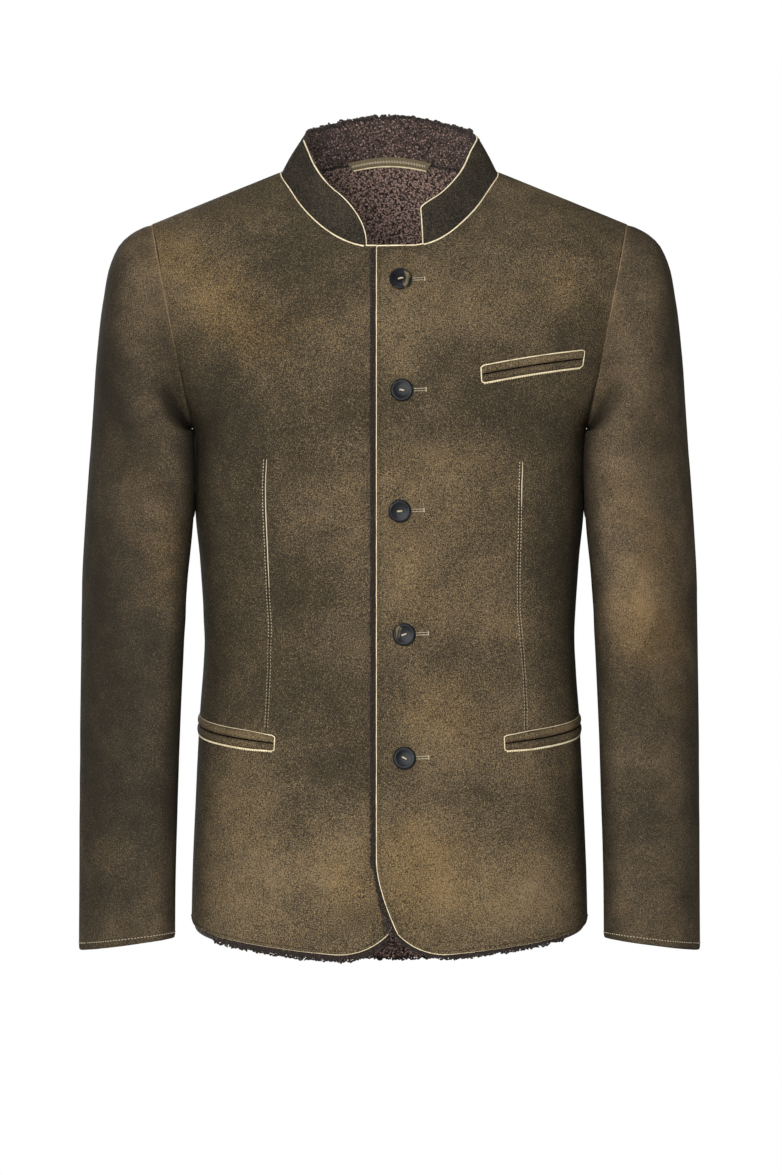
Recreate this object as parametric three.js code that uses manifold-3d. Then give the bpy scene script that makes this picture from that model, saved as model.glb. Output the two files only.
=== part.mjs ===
// A shearling suede jacket with a stand collar, worn open-shaped as on a wearer who is not there.
//
// Millimetres, +Z up. The front faces -Y and the wearer's left is +X. The origin is in the middle of the neck base,
// level with the inner end of the shoulder line, where a wearer's shoulders carry the jacket.
//
// The body is one surface, cut into panels: at each height its section is a superellipse with one depth in front and
// another behind. Above the armpits the section runs through the armhole, a slanted ellipse, and above the shoulder
// tips it shrinks along the shoulder slope to the neck.
import * as THREE from 'three';
import { mergeVertices } from 'three/addons/utils/BufferGeometryUtils.js';
import Module from 'manifold-3d';

const wasm = await Module();
wasm.setup();

// ---- driving dimensions ----

const SKIN = 2; // suede wall
const PILE = 5; // shearling pile behind the suede
const LAP_PILE_LOSS = 2.5; // how much the pile is flattened where the fronts overlap
const SEAM = 0.3; // gap between neighbouring pieces
const PILE_GAP = 0.6; // and between a skin and its pile

const SHOULDER_NECK = { x: 98, z: 6 }; // inner end of the shoulder line
const SHOULDER_TIP = { x: 218, z: -43 };
const ARMPIT = { x: 181, z: -230 };
const ARMHOLE_HALF_DEPTH = 62;
const ARMHOLE_POWER = 2.5; // the armhole is a little squarer than an ellipse
const SHOULDER_SOFTNESS = 16; // the shoulder's edge is averaged over this much height either way
const SHOULDER_SOFT_ANGLE = 0.3;
const SECTION_POWER = 2.4; // roundness of the body's sections: 2 is an ellipse, more is squarer

const NECK_DROP_FRONT = 72.5; // how far the neckline falls from the shoulder line to the centre front
const NECK_DROP_POWER = 2.4;
const NECK_DROP_EASE = 1.3; // taken off the power away from the shoulder seams
const NECK_DROP_SOFTNESS = 0.2;
const NECK_FULLNESS = 13; // how much deeper the neckline runs on its way to the collar's ends
const NECK_RISE_BACK = 12;
const BACK_NECK_TAPER = 1.6; // how fast the section narrows above the shoulder line

const HEM_SIDE = -679;
const HEM_DIP_FRONT = 32; // how much lower the hem is at the centre than at the side seams
const HEM_DIP_BACK = 38;
const CORNER_RADIUS = 68; // rounded lower corners of the fronts
const CORNER_LEVEL = -641; // where the rounding starts
const HEM_BEND_START = -560; // rows of the panels start to follow the hem below this height

const LEFT_BEYOND = 11.5; // how far the wearer's left front passes the centre
const RIGHT_BEYOND = 18; // the right front, underneath
const LAP_RISE = 3.5; // the overlapping front stands out and the lower one sinks by this much
const LAP_FULL = 20; // distance from the centre up to which the rise is full
const LAP_END = 72;

const PILE_PAST_EDGE = 3.5; // pile that shows past the overlapping front's edge
const PILE_PAST_HEM = 4;
const PILE_PAST_COLLAR = 4;

const COLLAR_HEIGHT = 38;
const COLLAR_LEFT_ROUND = 3.5; // how far the collar's upper corners are rounded down
const COLLAR_RIGHT_ROUND = 9;

const TAPE_HALF_WIDTH = 52; // hanger tape inside the back neck
const TAPE_BELOW = 4;
const TAPE_ABOVE = 4.5;
const TAPE_THICKNESS = 1.2;

const BUTTON_RADIUS = 10.4;
const BUTTON_THICKNESS = 3.4;
const BUTTON_RIM = 1.6;
const BUTTON_DISH = 0.9;
const HOLE_RADIUS = 1.1;
const HOLE_SPACING = 4.4;
const BUTTON_SIDES = 24;
const HOLE_SIDES = 10;
const BUTTON_LIFT = 0.8; // the thread shank holds a button off the front

// The body's section by height: half width at the side seam (below the armpits), depth in front, depth behind.
const BODY_ROWS = [
  { z: 18, front: 22, back: 76 },
  { z: 6, front: 30, back: 80 },
  { z: -10, front: 42, back: 84 },
  { z: -25, front: 57, back: 88 },
  { z: -50, front: 76, back: 95 },
  { z: -66, front: 87, back: 99.5 },
  { z: -110, front: 107, back: 109 },
  { z: -160, front: 120, back: 115.5 },
  { z: -230, front: 126, back: 118, width: 181 },
  { z: -310, front: 123, back: 113, width: 178 },
  { z: -350, front: 120, back: 110, width: 174 },
  { z: -425, front: 117, back: 109, width: 170 },
  { z: -500, front: 121, back: 114, width: 174.5 },
  { z: -572, front: 126, back: 120, width: 178 },
  { z: -646, front: 130, back: 125, width: 181 },
  { z: -730, front: 131, back: 127, width: 182.5 },
];

// Heights of the panels' rows, measured at the front edge.
const PANEL_ROWS = [
  5.6, 1, -8, -19, -31, -43, -51, -58, -62, -64, -65.4, -66, -90, -120, -155, -185, -210, -223, -230,
  -270, -330, -380, -425, -470, -520, -570, -610, -641, -665, -689,
];
const COLLAR_LEFT_Z = -64; // rows in which the collar's ends stand, 30 and 22 mm from the centre
const COLLAR_RIGHT_Z = -65.4;
const NECK_FRONT_Z = -66; // the row in which the fronts' free edges begin
const BACK_NECK_ROWS = [17.5, 15.5, 12.5, 9.5, 7];
const FRONT_COLUMNS = 7;
const BACK_COLUMNS = 10;

// The sleeve head turns about a point just under the armpit: turn from upright, distances of the sleeve's inner and
// outer edges from that point, half depth, centre, how far the section is turned towards the body, and its power.
const HEAD_ROWS = [
  { turn: 11.2, near: 6, reach: 196.6, depth: 62, y: 0, yaw: 0, power: ARMHOLE_POWER },
  { turn: 16.5, near: 6, reach: 193.9, depth: 65, y: 0, yaw: 2, power: 2.4 },
  { turn: 21.2, near: 6, reach: 187.5, depth: 67, y: -1, yaw: 4, power: 2.3 },
  { turn: 25.5, near: 6, reach: 176, depth: 69, y: -1, yaw: 6, power: 2.2 },
  { turn: 33.9, near: 6, reach: 149.2, depth: 71, y: -2, yaw: 10, power: 2.1 },
  { turn: 45.4, near: 5, reach: 123.8, depth: 73, y: -4, yaw: 15, power: 2 },
  { turn: 61.4, near: 3, reach: 104.4, depth: 74, y: -6, yaw: 20, power: 2 },
  { turn: 90, near: -1, reach: 95.2, depth: 75, y: -8, yaw: 26, power: 2 },
];

// The arm below it: height, centre, half width, half depth.
const ARM_ROWS = [
  { z: -270, x: 227.5, width: 50, depth: 75, y: -9 },
  { z: -315, x: 230, width: 50.5, depth: 74, y: -10 },
  { z: -370, x: 234, width: 49.4, depth: 72, y: -12 },
  { z: -430, x: 236, width: 48, depth: 69, y: -14 },
  { z: -500, x: 238, width: 46.7, depth: 65, y: -18 },
  { z: -570, x: 239.3, width: 45.7, depth: 61, y: -23 },
  { z: -640, x: 240.2, width: 44.7, depth: 58, y: -29 },
  { z: -702, x: 240.5, width: 44.5, depth: 56, y: -34 },
];
const ARM_YAW = 26;
const CUFF_TILT = 6; // the cuff's outer edge is lower than its inner edge by twice this
const SLEEVE_SIDES = 18;

// Pocket windows: distance of the front end from the centre, height of the slit there, length round the body,
// rise per length, and the window's height. Each has an upper and a lower welt.
const CHEST_POCKET = { x: 84, z: -183.5, length: 99, rise: 0.155, height: 14.6, columns: 6 };
const LOWER_POCKET = { x: 105, z: -518.3, length: 134, rise: 0.135, height: 15.4, columns: 9 };
const WELT_THICKNESS = 1.4;
const WELT_SLIT = 1;
const WELT_LIFT = 0.5; // welts clear the panel by this much

const BUTTONS = [
  { name: 'button_1', x: 10.1, z: -97.2 },
  { name: 'button_2', x: 11.2, z: -198.1 },
  { name: 'button_3', x: 9.3, z: -307.4 },
  { name: 'button_4', x: 13.2, z: -419.2 },
  { name: 'button_5', x: 13.5, z: -531.4 },
];

// ---- numbers and curves ----

const DEGREE = Math.PI / 180;

function smoothstep(from, to, value) {
  const t = Math.min(1, Math.max(0, (value - from) / (to - from)));
  return t * t * (3 - 2 * t);
}

// Monotone cubic through a table's rows: the value of one column at a key between the rows.
function alongTable(rows, key, column, at) {
  const used = rows.filter((row) => row[column] !== undefined).sort((p, q) => p[key] - q[key]);
  const last = used.length - 1;
  if (at <= used[0][key]) return used[0][column];
  if (at >= used[last][key]) return used[last][column];
  const slope = (i) => (used[i + 1][column] - used[i][column]) / (used[i + 1][key] - used[i][key]);
  const tangent = (i) => {
    if (i === 0) return slope(0);
    if (i === last) return slope(last - 1);
    const before = slope(i - 1);
    const after = slope(i);
    return before * after <= 0 ? 0 : (2 * before * after) / (before + after);
  };
  let i = 0;
  while (used[i + 1][key] < at) i += 1;
  const h = used[i + 1][key] - used[i][key];
  const t = (at - used[i][key]) / h;
  const fromStart = (1 + 2 * t) * (1 - t) ** 2 * used[i][column] + t * (1 - t) ** 2 * h * tangent(i);
  const fromEnd = t * t * (3 - 2 * t) * used[i + 1][column] - t * t * (1 - t) * h * tangent(i + 1);
  return fromStart + fromEnd;
}

// ---- the body's surface ----

const ARMHOLE_MIDDLE = (SHOULDER_TIP.z + ARMPIT.z) / 2;
const ARMHOLE_HALF_HEIGHT = (SHOULDER_TIP.z - ARMPIT.z) / 2;

function armholeX(z) {
  const t = (SHOULDER_TIP.z - z) / (SHOULDER_TIP.z - ARMPIT.z);
  return SHOULDER_TIP.x + (ARMPIT.x - SHOULDER_TIP.x) * t;
}

function armholeHalfDepth(z) {
  const t = (z - ARMHOLE_MIDDLE) / ARMHOLE_HALF_HEIGHT;
  return Math.abs(t) >= 1 ? 0 : ARMHOLE_HALF_DEPTH * (1 - Math.abs(t) ** ARMHOLE_POWER) ** (1 / ARMHOLE_POWER);
}

// Half width of the whole section, chosen so that the section passes through the armhole's edge.
function halfWidth(z, depth) {
  if (z >= SHOULDER_NECK.z) return SHOULDER_NECK.x - BACK_NECK_TAPER * (z - SHOULDER_NECK.z);
  if (z >= SHOULDER_TIP.z) {
    const t = (SHOULDER_NECK.z - z) / (SHOULDER_NECK.z - SHOULDER_TIP.z);
    return SHOULDER_NECK.x + (SHOULDER_TIP.x - SHOULDER_NECK.x) * t;
  }
  if (z <= ARMPIT.z) return alongTable(BODY_ROWS, 'z', 'width', z);
  const rest = 1 - (armholeHalfDepth(z) / depth) ** SECTION_POWER;
  return armholeX(z) / rest ** (1 / SECTION_POWER);
}

function sectionRadius(face, angle, z) {
  const depth = alongTable(BODY_ROWS, 'z', face, z);
  const width = halfWidth(z, depth);
  const across = (Math.abs(Math.cos(angle)) / width) ** SECTION_POWER;
  const forward = (Math.abs(Math.sin(angle)) / depth) ** SECTION_POWER;
  return (across + forward) ** (-1 / SECTION_POWER);
}

// Away from the shoulder line the shoulder rounds over softly: its sections are averaged with those near them.
function roundedRadius(face, angle, z) {
  if (z < SHOULDER_TIP.z - 2 * SHOULDER_SOFTNESS) return sectionRadius(face, angle, z);
  const reach = SHOULDER_SOFTNESS * smoothstep(0, SHOULDER_SOFT_ANGLE, Math.sin(angle));
  const weights = [1, 2, 3, 4, 3, 2, 1];
  const sum = weights.reduce((total, weight, i) => (
    total + weight * sectionRadius(face, angle, z + reach * (i / 3 - 1))
  ), 0);
  return sum / 16;
}

// A point of the surface on the wearer's left half. The angle starts at the side, 90 degrees is the centre, and
// face is 'front' or 'back'. lift moves the overlap of the fronts out or in.
function bodyPoint(face, angle, z, lift = 0) {
  let radius = roundedRadius(face, angle, z);
  radius += lift * (1 - smoothstep(LAP_FULL, LAP_END, radius * Math.cos(angle)));
  const y = radius * Math.sin(angle) * (face === 'front' ? -1 : 1);
  return new THREE.Vector3(radius * Math.cos(angle), y, z);
}

function bodyNormal(face, angle, z, lift = 0) {
  const step = 0.002;
  const rise = 0.5;
  const along = bodyPoint(face, angle + step, z, lift).sub(bodyPoint(face, angle - step, z, lift));
  const up = bodyPoint(face, angle, z + rise, lift).sub(bodyPoint(face, angle, z - rise, lift));
  const normal = along.cross(up).normalize();
  return face === 'front' ? normal.negate() : normal;
}

// The angle at which the front's section reaches a distance from the centre.
function angleAtX(z, x, lift = 0) {
  let low = 0;
  let high = Math.PI;
  for (let i = 0; i < 40; i += 1) {
    const middle = (low + high) / 2;
    if (bodyPoint('front', middle, z, lift).x > x) low = middle;
    else high = middle;
  }
  return low;
}

// Splits a stretch of one section into equal lengths, and gives the angle a share of the way along it.
function angleAlong(face, z, from, to, share, lift = 0) {
  const steps = 48;
  const lengths = [0];
  let last = bodyPoint(face, from, z, lift);
  for (let i = 1; i <= steps; i += 1) {
    const next = bodyPoint(face, from + ((to - from) * i) / steps, z, lift);
    lengths.push(lengths[i - 1] + next.distanceTo(last));
    last = next;
  }
  const wanted = lengths[steps] * share;
  let i = 0;
  while (i < steps - 1 && lengths[i + 1] < wanted) i += 1;
  const t = (wanted - lengths[i]) / (lengths[i + 1] - lengths[i]);
  return from + ((to - from) * (i + t)) / steps;
}

// ---- neckline and hem ----

function necklineZ(face, angle) {
  const s = Math.abs(Math.sin(angle));
  if (face === 'back') return SHOULDER_NECK.z + NECK_RISE_BACK * s * s;
  const eased = (1 + NECK_DROP_SOFTNESS) / (s ** NECK_DROP_EASE + NECK_DROP_SOFTNESS);
  const fuller = NECK_FULLNESS * s ** 5 * (1 - s ** 6);
  return SHOULDER_NECK.z - NECK_DROP_FRONT * s ** NECK_DROP_POWER * eased - fuller;
}

function frontNecklineAngle(z) {
  let low = 0;
  let high = Math.PI / 2;
  for (let i = 0; i < 40; i += 1) {
    const middle = (low + high) / 2;
    if (necklineZ('front', middle) > z) low = middle;
    else high = middle;
  }
  return low;
}

function backNecklineAngle(z) {
  return Math.asin(Math.sqrt((z - SHOULDER_NECK.z) / NECK_RISE_BACK));
}

function hemZ(face, angle) {
  const dip = face === 'front' ? HEM_DIP_FRONT : HEM_DIP_BACK;
  return HEM_SIDE - dip * Math.abs(Math.sin(angle)) ** 0.9;
}

// Rows near the hem bend to follow it.
function bendToHem(z, bottom) {
  const last = PANEL_ROWS[PANEL_ROWS.length - 1];
  const share = Math.max(0, (z - HEM_BEND_START) / (last - HEM_BEND_START)) ** 2;
  return z + (bottom - last) * share;
}

// ---- closed shells from grids of points ----

// Makes a closed body from an outer and an inner grid of the same size. round joins the last column to the first.
function shellFromGrids(outer, inner, round = false) {
  const rows = outer.length;
  const columns = outer[0].length;
  const positions = [...outer, ...inner].flat().flatMap((p) => [p.x, p.y, p.z]);
  const index = [];
  const at = (layer, i, j) => (layer * rows + i) * columns + (j % columns);
  const quad = (a, b, c, d) => index.push(a, b, c, a, c, d);
  const crossQuad = (a, b, c, d) => index.push(b, c, d, b, d, a);
  // Each cell is split along its shorter diagonal, the same way in both layers.
  const cell = (i, j) => {
    const next = (j + 1) % columns;
    const straight = outer[i][j].distanceTo(outer[i + 1][next]) <= outer[i][next].distanceTo(outer[i + 1][j]);
    return straight ? quad : crossQuad;
  };
  const wide = round ? columns : columns - 1;
  for (let i = 0; i < rows - 1; i += 1) {
    for (let j = 0; j < wide; j += 1) {
      const split = cell(i, j);
      split(at(0, i, j), at(0, i, j + 1), at(0, i + 1, j + 1), at(0, i + 1, j));
      split(at(1, i, j), at(1, i + 1, j), at(1, i + 1, j + 1), at(1, i, j + 1));
    }
    if (!round) {
      quad(at(0, i, 0), at(0, i + 1, 0), at(1, i + 1, 0), at(1, i, 0));
      quad(at(0, i + 1, wide), at(0, i, wide), at(1, i, wide), at(1, i + 1, wide));
    }
  }
  for (let j = 0; j < wide; j += 1) {
    quad(at(0, 0, j + 1), at(0, 0, j), at(1, 0, j), at(1, 0, j + 1));
    quad(at(0, rows - 1, j), at(0, rows - 1, j + 1), at(1, rows - 1, j + 1), at(1, rows - 1, j));
  }
  if (signedVolume(positions, index) < 0) index.reverse();
  const geometry = new THREE.BufferGeometry();
  geometry.setAttribute('position', new THREE.Float32BufferAttribute(positions, 3));
  geometry.setIndex(index);
  geometry.computeVertexNormals();
  return geometry;
}

function signedVolume(positions, index) {
  const corner = (i) => new THREE.Vector3().fromArray(positions, 3 * index[i]);
  let volume = 0;
  for (let i = 0; i < index.length; i += 3) volume += corner(i).dot(corner(i + 1).cross(corner(i + 2)));
  return volume;
}

function mirrored(point, side) {
  return new THREE.Vector3(point.x * side, point.y, point.z);
}

// ---- body panels and their pile ----

// The layers of a shearling skin, as depths under the body's surface.
const SUEDE_LAYER = { top: () => 0, bottom: () => SKIN };
const PILE_LAYER = {
  top: () => SKIN + PILE_GAP,
  bottom: (x, lift) => {
    const lapped = lift > 0 ? 1 - smoothstep(LAP_FULL, LAP_END, x) : 0;
    return SKIN + PILE_GAP + PILE - LAP_PILE_LOSS * lapped;
  },
};

// The angle of a front's free edge: straight, then rounded at the lower corner.
function frontEdgeAngle(z, beyond, lift) {
  const below = Math.max(0, CORNER_LEVEL - z);
  const x = CORNER_RADIUS - beyond - Math.sqrt(CORNER_RADIUS ** 2 - below ** 2);
  return angleAtX(z, x, lift);
}

// Angles and heights of a front panel's grid, from its front edge or neckline to the side seam or armhole.
function frontGrid(beyond, lift) {
  const seam = SEAM / 2 / ARMPIT.x;
  const cornerX = CORNER_RADIUS - beyond;
  return PANEL_ROWS.map((rowZ) => {
    const from = rowZ > NECK_FRONT_Z ? frontNecklineAngle(rowZ) : frontEdgeAngle(rowZ, beyond, lift);
    const to = Math.atan2(armholeHalfDepth(rowZ), armholeX(rowZ)) + seam;
    return Array.from({ length: FRONT_COLUMNS + 1 }, (_, j) => {
      const angle = angleAlong('front', rowZ, from, to, j / FRONT_COLUMNS, lift);
      const x = bodyPoint('front', angle, rowZ, lift).x;
      const inside = Math.min(CORNER_RADIUS, Math.max(0, cornerX - x));
      const rounding = CORNER_RADIUS - Math.sqrt(CORNER_RADIUS ** 2 - inside ** 2);
      return { angle, rowZ, z: bendToHem(rowZ, hemZ('front', angle) + rounding) };
    });
  });
}

// The back's grid runs from the wearer's left side to the right side, with its first rows inside the back neck.
function backGrid() {
  const seam = SEAM / 2 / ARMPIT.x;
  return [...BACK_NECK_ROWS, ...PANEL_ROWS].map((rowZ) => {
    const neck = rowZ > SHOULDER_NECK.z;
    const from = neck ? backNecklineAngle(rowZ) : Math.atan2(armholeHalfDepth(rowZ), armholeX(rowZ)) + seam;
    return Array.from({ length: BACK_COLUMNS + 1 }, (_, j) => {
      const angle = angleAlong('back', rowZ, from, Math.PI - from, j / BACK_COLUMNS);
      return { angle, rowZ, z: bendToHem(rowZ, hemZ('back', angle)) };
    });
  });
}

// The pile has its panel's grid, with the last row past the hem and, where it shows, a first column past the edge.
function pileGrid(grid, edgeAngle) {
  return grid.map((row, i) => row.map(({ angle, rowZ, z }, j) => ({
    angle: j === 0 && rowZ <= NECK_FRONT_Z && edgeAngle ? edgeAngle(rowZ) : angle,
    z: i === grid.length - 1 ? z - PILE_PAST_HEM : z,
  })));
}

function panel(face, grid, layer, side, lift = 0) {
  const sheet = (depth) => grid.map((row) => row.map(({ angle, z }) => {
    const point = bodyPoint(face, angle, z, lift);
    const inward = bodyNormal(face, angle, z, lift).multiplyScalar(-depth(point.x, lift));
    return mirrored(point.add(inward), side);
  }));
  return shellFromGrids(sheet(layer.top), sheet(layer.bottom));
}

// ---- sleeves ----

// One section of a sleeve: centre, the direction towards its outer edge, half width along it, half depth.
function sleeveSections() {
  const tilt = HEAD_ROWS[0].turn * DEGREE;
  const seamNear = HEAD_ROWS[0].near;
  const pivot = new THREE.Vector3(
    ARMPIT.x - seamNear * Math.sin(tilt), 0, ARMPIT.z - seamNear * Math.cos(tilt),
  );
  const head = HEAD_ROWS.map(({ turn, near, reach, depth, y, yaw, power }) => {
    const outward = new THREE.Vector3(Math.sin(turn * DEGREE), 0, Math.cos(turn * DEGREE));
    const centre = pivot.clone().addScaledVector(outward, (near + reach) / 2);
    centre.y = y;
    return { centre, outward, width: (reach - near) / 2, depth, yaw, power };
  });
  head[0].centre.addScaledVector(new THREE.Vector3(Math.cos(tilt), 0, -Math.sin(tilt)), SEAM + 0.05);
  const arm = ARM_ROWS.map(({ z, x, width, depth, y }, i) => {
    const drop = i === ARM_ROWS.length - 1 ? -CUFF_TILT / width : 0;
    const outward = new THREE.Vector3(1, 0, drop);
    return { centre: new THREE.Vector3(x, y, z), outward, width, depth, yaw: ARM_YAW, power: 2 };
  });
  return [...head, ...arm];
}

// A superellipse turned in its own plane so that it still reaches the section's half width.
function sleeveRing(section, wall, side) {
  const yaw = section.yaw * DEGREE;
  const spread = section.width ** 2 - (section.depth * Math.sin(yaw)) ** 2;
  const halfWide = Math.sqrt(spread) / Math.cos(yaw) - wall;
  const halfDeep = section.depth - wall;
  return Array.from({ length: SLEEVE_SIDES }, (_, j) => {
    const angle = (2 * Math.PI * j) / SLEEVE_SIDES;
    const c = Math.cos(angle);
    const s = Math.sin(angle);
    const scale = (Math.abs(c) ** section.power + Math.abs(s) ** section.power) ** (-1 / section.power);
    const u = halfWide * c * scale;
    const v = halfDeep * s * scale;
    const point = section.centre.clone();
    point.addScaledVector(section.outward, u * Math.cos(yaw) + v * Math.sin(yaw));
    point.y += v * Math.cos(yaw) - u * Math.sin(yaw);
    return mirrored(point, side);
  });
}

function sleeve(side) {
  const sections = sleeveSections();
  const layer = (wall) => sections.map((section) => sleeveRing(section, wall, side));
  return shellFromGrids(layer(0), layer(SKIN), true);
}

// ---- collar ----

// The neckline from the wearer's left end, round the back, to the right end, as angles from the left side.
function collarFrame(turn) {
  const front = Math.sin(turn) < 0;
  const face = front ? 'front' : 'back';
  const side = Math.cos(turn) >= 0 ? 1 : -1;
  const angle = Math.asin(Math.min(1, Math.abs(Math.sin(turn))));
  const lift = front ? LAP_RISE * side : 0;
  const base = bodyPoint(face, angle, necklineZ(face, angle), lift);
  base.x *= side;
  const inward = new THREE.Vector3(-Math.cos(turn) * 0.9, -Math.sin(turn), 0).normalize();
  const atSide = Math.cos(turn) ** 2;
  const lean = (front ? 8 + 22 * atSide : 12 + 18 * atSide) * DEGREE;
  const up = inward.clone().multiplyScalar(Math.sin(lean)).add(new THREE.Vector3(0, 0, Math.cos(lean)));
  return { base, inward, up };
}

// The collar's columns stand on the neckline corners of the panels, from the wearer's left end to the right end.
function collarTurns() {
  const shoulder = PANEL_ROWS.filter((z) => z >= COLLAR_LEFT_Z).map(frontNecklineAngle);
  const lastRight = frontNecklineAngle(COLLAR_RIGHT_Z);
  const behind = BACK_NECK_ROWS.map(backNecklineAngle);
  const left = [...[...shoulder].reverse().map((angle) => -angle), 0, ...[...behind].reverse()];
  const right = [...behind, 0, ...shoulder.map((angle) => -angle), -lastRight].map((angle) => Math.PI - angle);
  return [...left, Math.PI / 2, ...right];
}

// A band on the neckline: low is its lower edge above the seam, high gives the upper edge at each column, and near
// and far are depths inward.
function neckBand(turns, low, high, near, far) {
  const levels = [0, 0.55, 1];
  const sheet = (depth) => levels.map((level) => turns.map((turn, j) => {
    const { base, inward, up } = collarFrame(turn);
    return base.addScaledVector(up, low + (high(j) - low) * level).addScaledVector(inward, depth);
  }));
  return shellFromGrids(sheet(near), sheet(far));
}

// The upper edge drops at the rounded ends: the first column on the left, the last two on the right.
function collarEdge(height, count) {
  const drops = { 0: COLLAR_LEFT_ROUND, [count - 1]: COLLAR_RIGHT_ROUND, [count - 2]: COLLAR_RIGHT_ROUND / 3 };
  return (j) => height - (drops[j] ?? 0);
}

function collar() {
  const turns = collarTurns();
  return neckBand(turns, SEAM + 0.05, collarEdge(COLLAR_HEIGHT, turns.length), 0, SKIN);
}

function collarPile() {
  const turns = collarTurns();
  const near = SKIN + PILE_GAP;
  const edge = collarEdge(COLLAR_HEIGHT + PILE_PAST_COLLAR, turns.length);
  return neckBand(turns, SEAM + 0.05, edge, near, near + PILE);
}

function hangerTape() {
  const half = Math.asin(TAPE_HALF_WIDTH / SHOULDER_NECK.x);
  const steps = 8;
  const turns = Array.from({ length: steps + 1 }, (_, j) => Math.PI / 2 - half + (2 * half * j) / steps);
  const near = SKIN + PILE + 3 * PILE_GAP;
  return neckBand(turns, -TAPE_BELOW, () => TAPE_ABOVE, near, near + TAPE_THICKNESS);
}

// ---- pocket welts ----

// One welt lies on the front panel, just clear of it. low and high are its edges above the slit's middle.
function welt(pocket, low, high, side) {
  const lift = LAP_RISE * side;
  const start = angleAtX(pocket.z, pocket.x, lift);
  const sectionLength = (z, from) => {
    let length = 0;
    let last = bodyPoint('front', from, z, lift);
    for (let i = 1; i <= 40; i += 1) {
      const next = bodyPoint('front', from * (1 - i / 40), z, lift);
      length += next.distanceTo(last);
      last = next;
    }
    return length;
  };
  const whole = sectionLength(pocket.z, start);
  const sheet = (depth) => [low, high].map((edge) => Array.from({ length: pocket.columns + 1 }, (_, j) => {
    const run = (pocket.length * j) / pocket.columns;
    const z = pocket.z + pocket.rise * run + edge;
    const angle = angleAlong('front', pocket.z, start, 0, run / whole, lift);
    const point = bodyPoint('front', angle, z, lift);
    return mirrored(point.addScaledVector(bodyNormal('front', angle, z, lift), depth), side);
  }));
  return shellFromGrids(sheet(WELT_LIFT + WELT_THICKNESS), sheet(WELT_LIFT));
}

// ---- buttons ----

function asManifold(geometry) {
  const bare = geometry.clone();
  bare.deleteAttribute('normal');
  bare.deleteAttribute('uv');
  const merged = mergeVertices(bare, 1e-4);
  return new wasm.Manifold(new wasm.Mesh({
    numProp: 3,
    vertProperties: new Float32Array(merged.attributes.position.array),
    triVerts: new Uint32Array(merged.index.array),
  }));
}

function asGeometry(manifold) {
  const mesh = manifold.getMesh();
  const geometry = new THREE.BufferGeometry();
  geometry.setAttribute('position', new THREE.BufferAttribute(new Float32Array(mesh.vertProperties), 3));
  geometry.setIndex(new THREE.BufferAttribute(new Uint32Array(mesh.triVerts), 1));
  geometry.computeVertexNormals();
  return geometry;
}

// A dished horn disc, turned about Z with its back at z = 0, with two sewing holes side by side.
function buttonGeometry() {
  const profile = [
    [0, 0], [BUTTON_RADIUS - 1.2, 0], [BUTTON_RADIUS, 1], [BUTTON_RADIUS, BUTTON_THICKNESS - 1],
    [BUTTON_RADIUS - 0.6, BUTTON_THICKNESS], [BUTTON_RADIUS - BUTTON_RIM, BUTTON_THICKNESS],
    [BUTTON_RADIUS - BUTTON_RIM - 1.2, BUTTON_THICKNESS - BUTTON_DISH], [0, BUTTON_THICKNESS - BUTTON_DISH],
  ];
  const disc = new THREE.LatheGeometry(profile.map(([r, h]) => new THREE.Vector2(r, h)), BUTTON_SIDES);
  disc.rotateX(Math.PI / 2);
  let body = asManifold(disc);
  for (const side of [-1, 1]) {
    const drill = new THREE.CylinderGeometry(HOLE_RADIUS, HOLE_RADIUS, 3 * BUTTON_THICKNESS, HOLE_SIDES);
    drill.rotateX(Math.PI / 2);
    drill.translate((side * HOLE_SPACING) / 2, 0, 0);
    body = body.subtract(asManifold(drill));
  }
  return asGeometry(body);
}

// ---- the jacket ----

const suede = (color) => new THREE.MeshStandardMaterial({ color, roughness: 0.92, metalness: 0 });
const BODY_SUEDE = 0x62553d;
const SLEEVE_SUEDE = 0x544a39;
const COLLAR_SUEDE = 0x38362b;
const PILE_BROWN = 0x4a3f3b;
const TAPE_OLIVE = 0x6b604a;
const HORN = 0x1c2228;

const jacket = new THREE.Group();

function addPiece(name, geometry, material) {
  const mesh = new THREE.Mesh(geometry, material);
  mesh.name = name;
  jacket.add(mesh);
  return mesh;
}

const sides = [
  { name: 'left', sign: 1, beyond: LEFT_BEYOND, pilePast: PILE_PAST_EDGE },
  { name: 'right', sign: -1, beyond: RIGHT_BEYOND, pilePast: 0 },
];

for (const { name, sign, beyond, pilePast } of sides) {
  const lift = LAP_RISE * sign;
  const front = frontGrid(beyond, lift);
  const pile = pileGrid(front, (z) => frontEdgeAngle(z, beyond + pilePast, lift));
  addPiece(`front_${name}`, panel('front', front, SUEDE_LAYER, sign, lift), suede(BODY_SUEDE));
  addPiece(`lining_front_${name}`, panel('front', pile, PILE_LAYER, sign, lift), suede(PILE_BROWN));
  addPiece(`sleeve_${name}`, sleeve(sign), suede(SLEEVE_SUEDE));
  const half = LOWER_POCKET.height / 2;
  const slit = WELT_SLIT / 2;
  addPiece(`pocket_${name}_upper_welt`, welt(LOWER_POCKET, slit, half, sign), suede(COLLAR_SUEDE));
  addPiece(`pocket_${name}_lower_welt`, welt(LOWER_POCKET, -half, -slit, sign), suede(COLLAR_SUEDE));
}

const chestHalf = CHEST_POCKET.height / 2;
addPiece('chest_pocket_upper_welt', welt(CHEST_POCKET, WELT_SLIT / 2, chestHalf, 1), suede(COLLAR_SUEDE));
addPiece('chest_pocket_lower_welt', welt(CHEST_POCKET, -chestHalf, -WELT_SLIT / 2, 1), suede(COLLAR_SUEDE));

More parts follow.
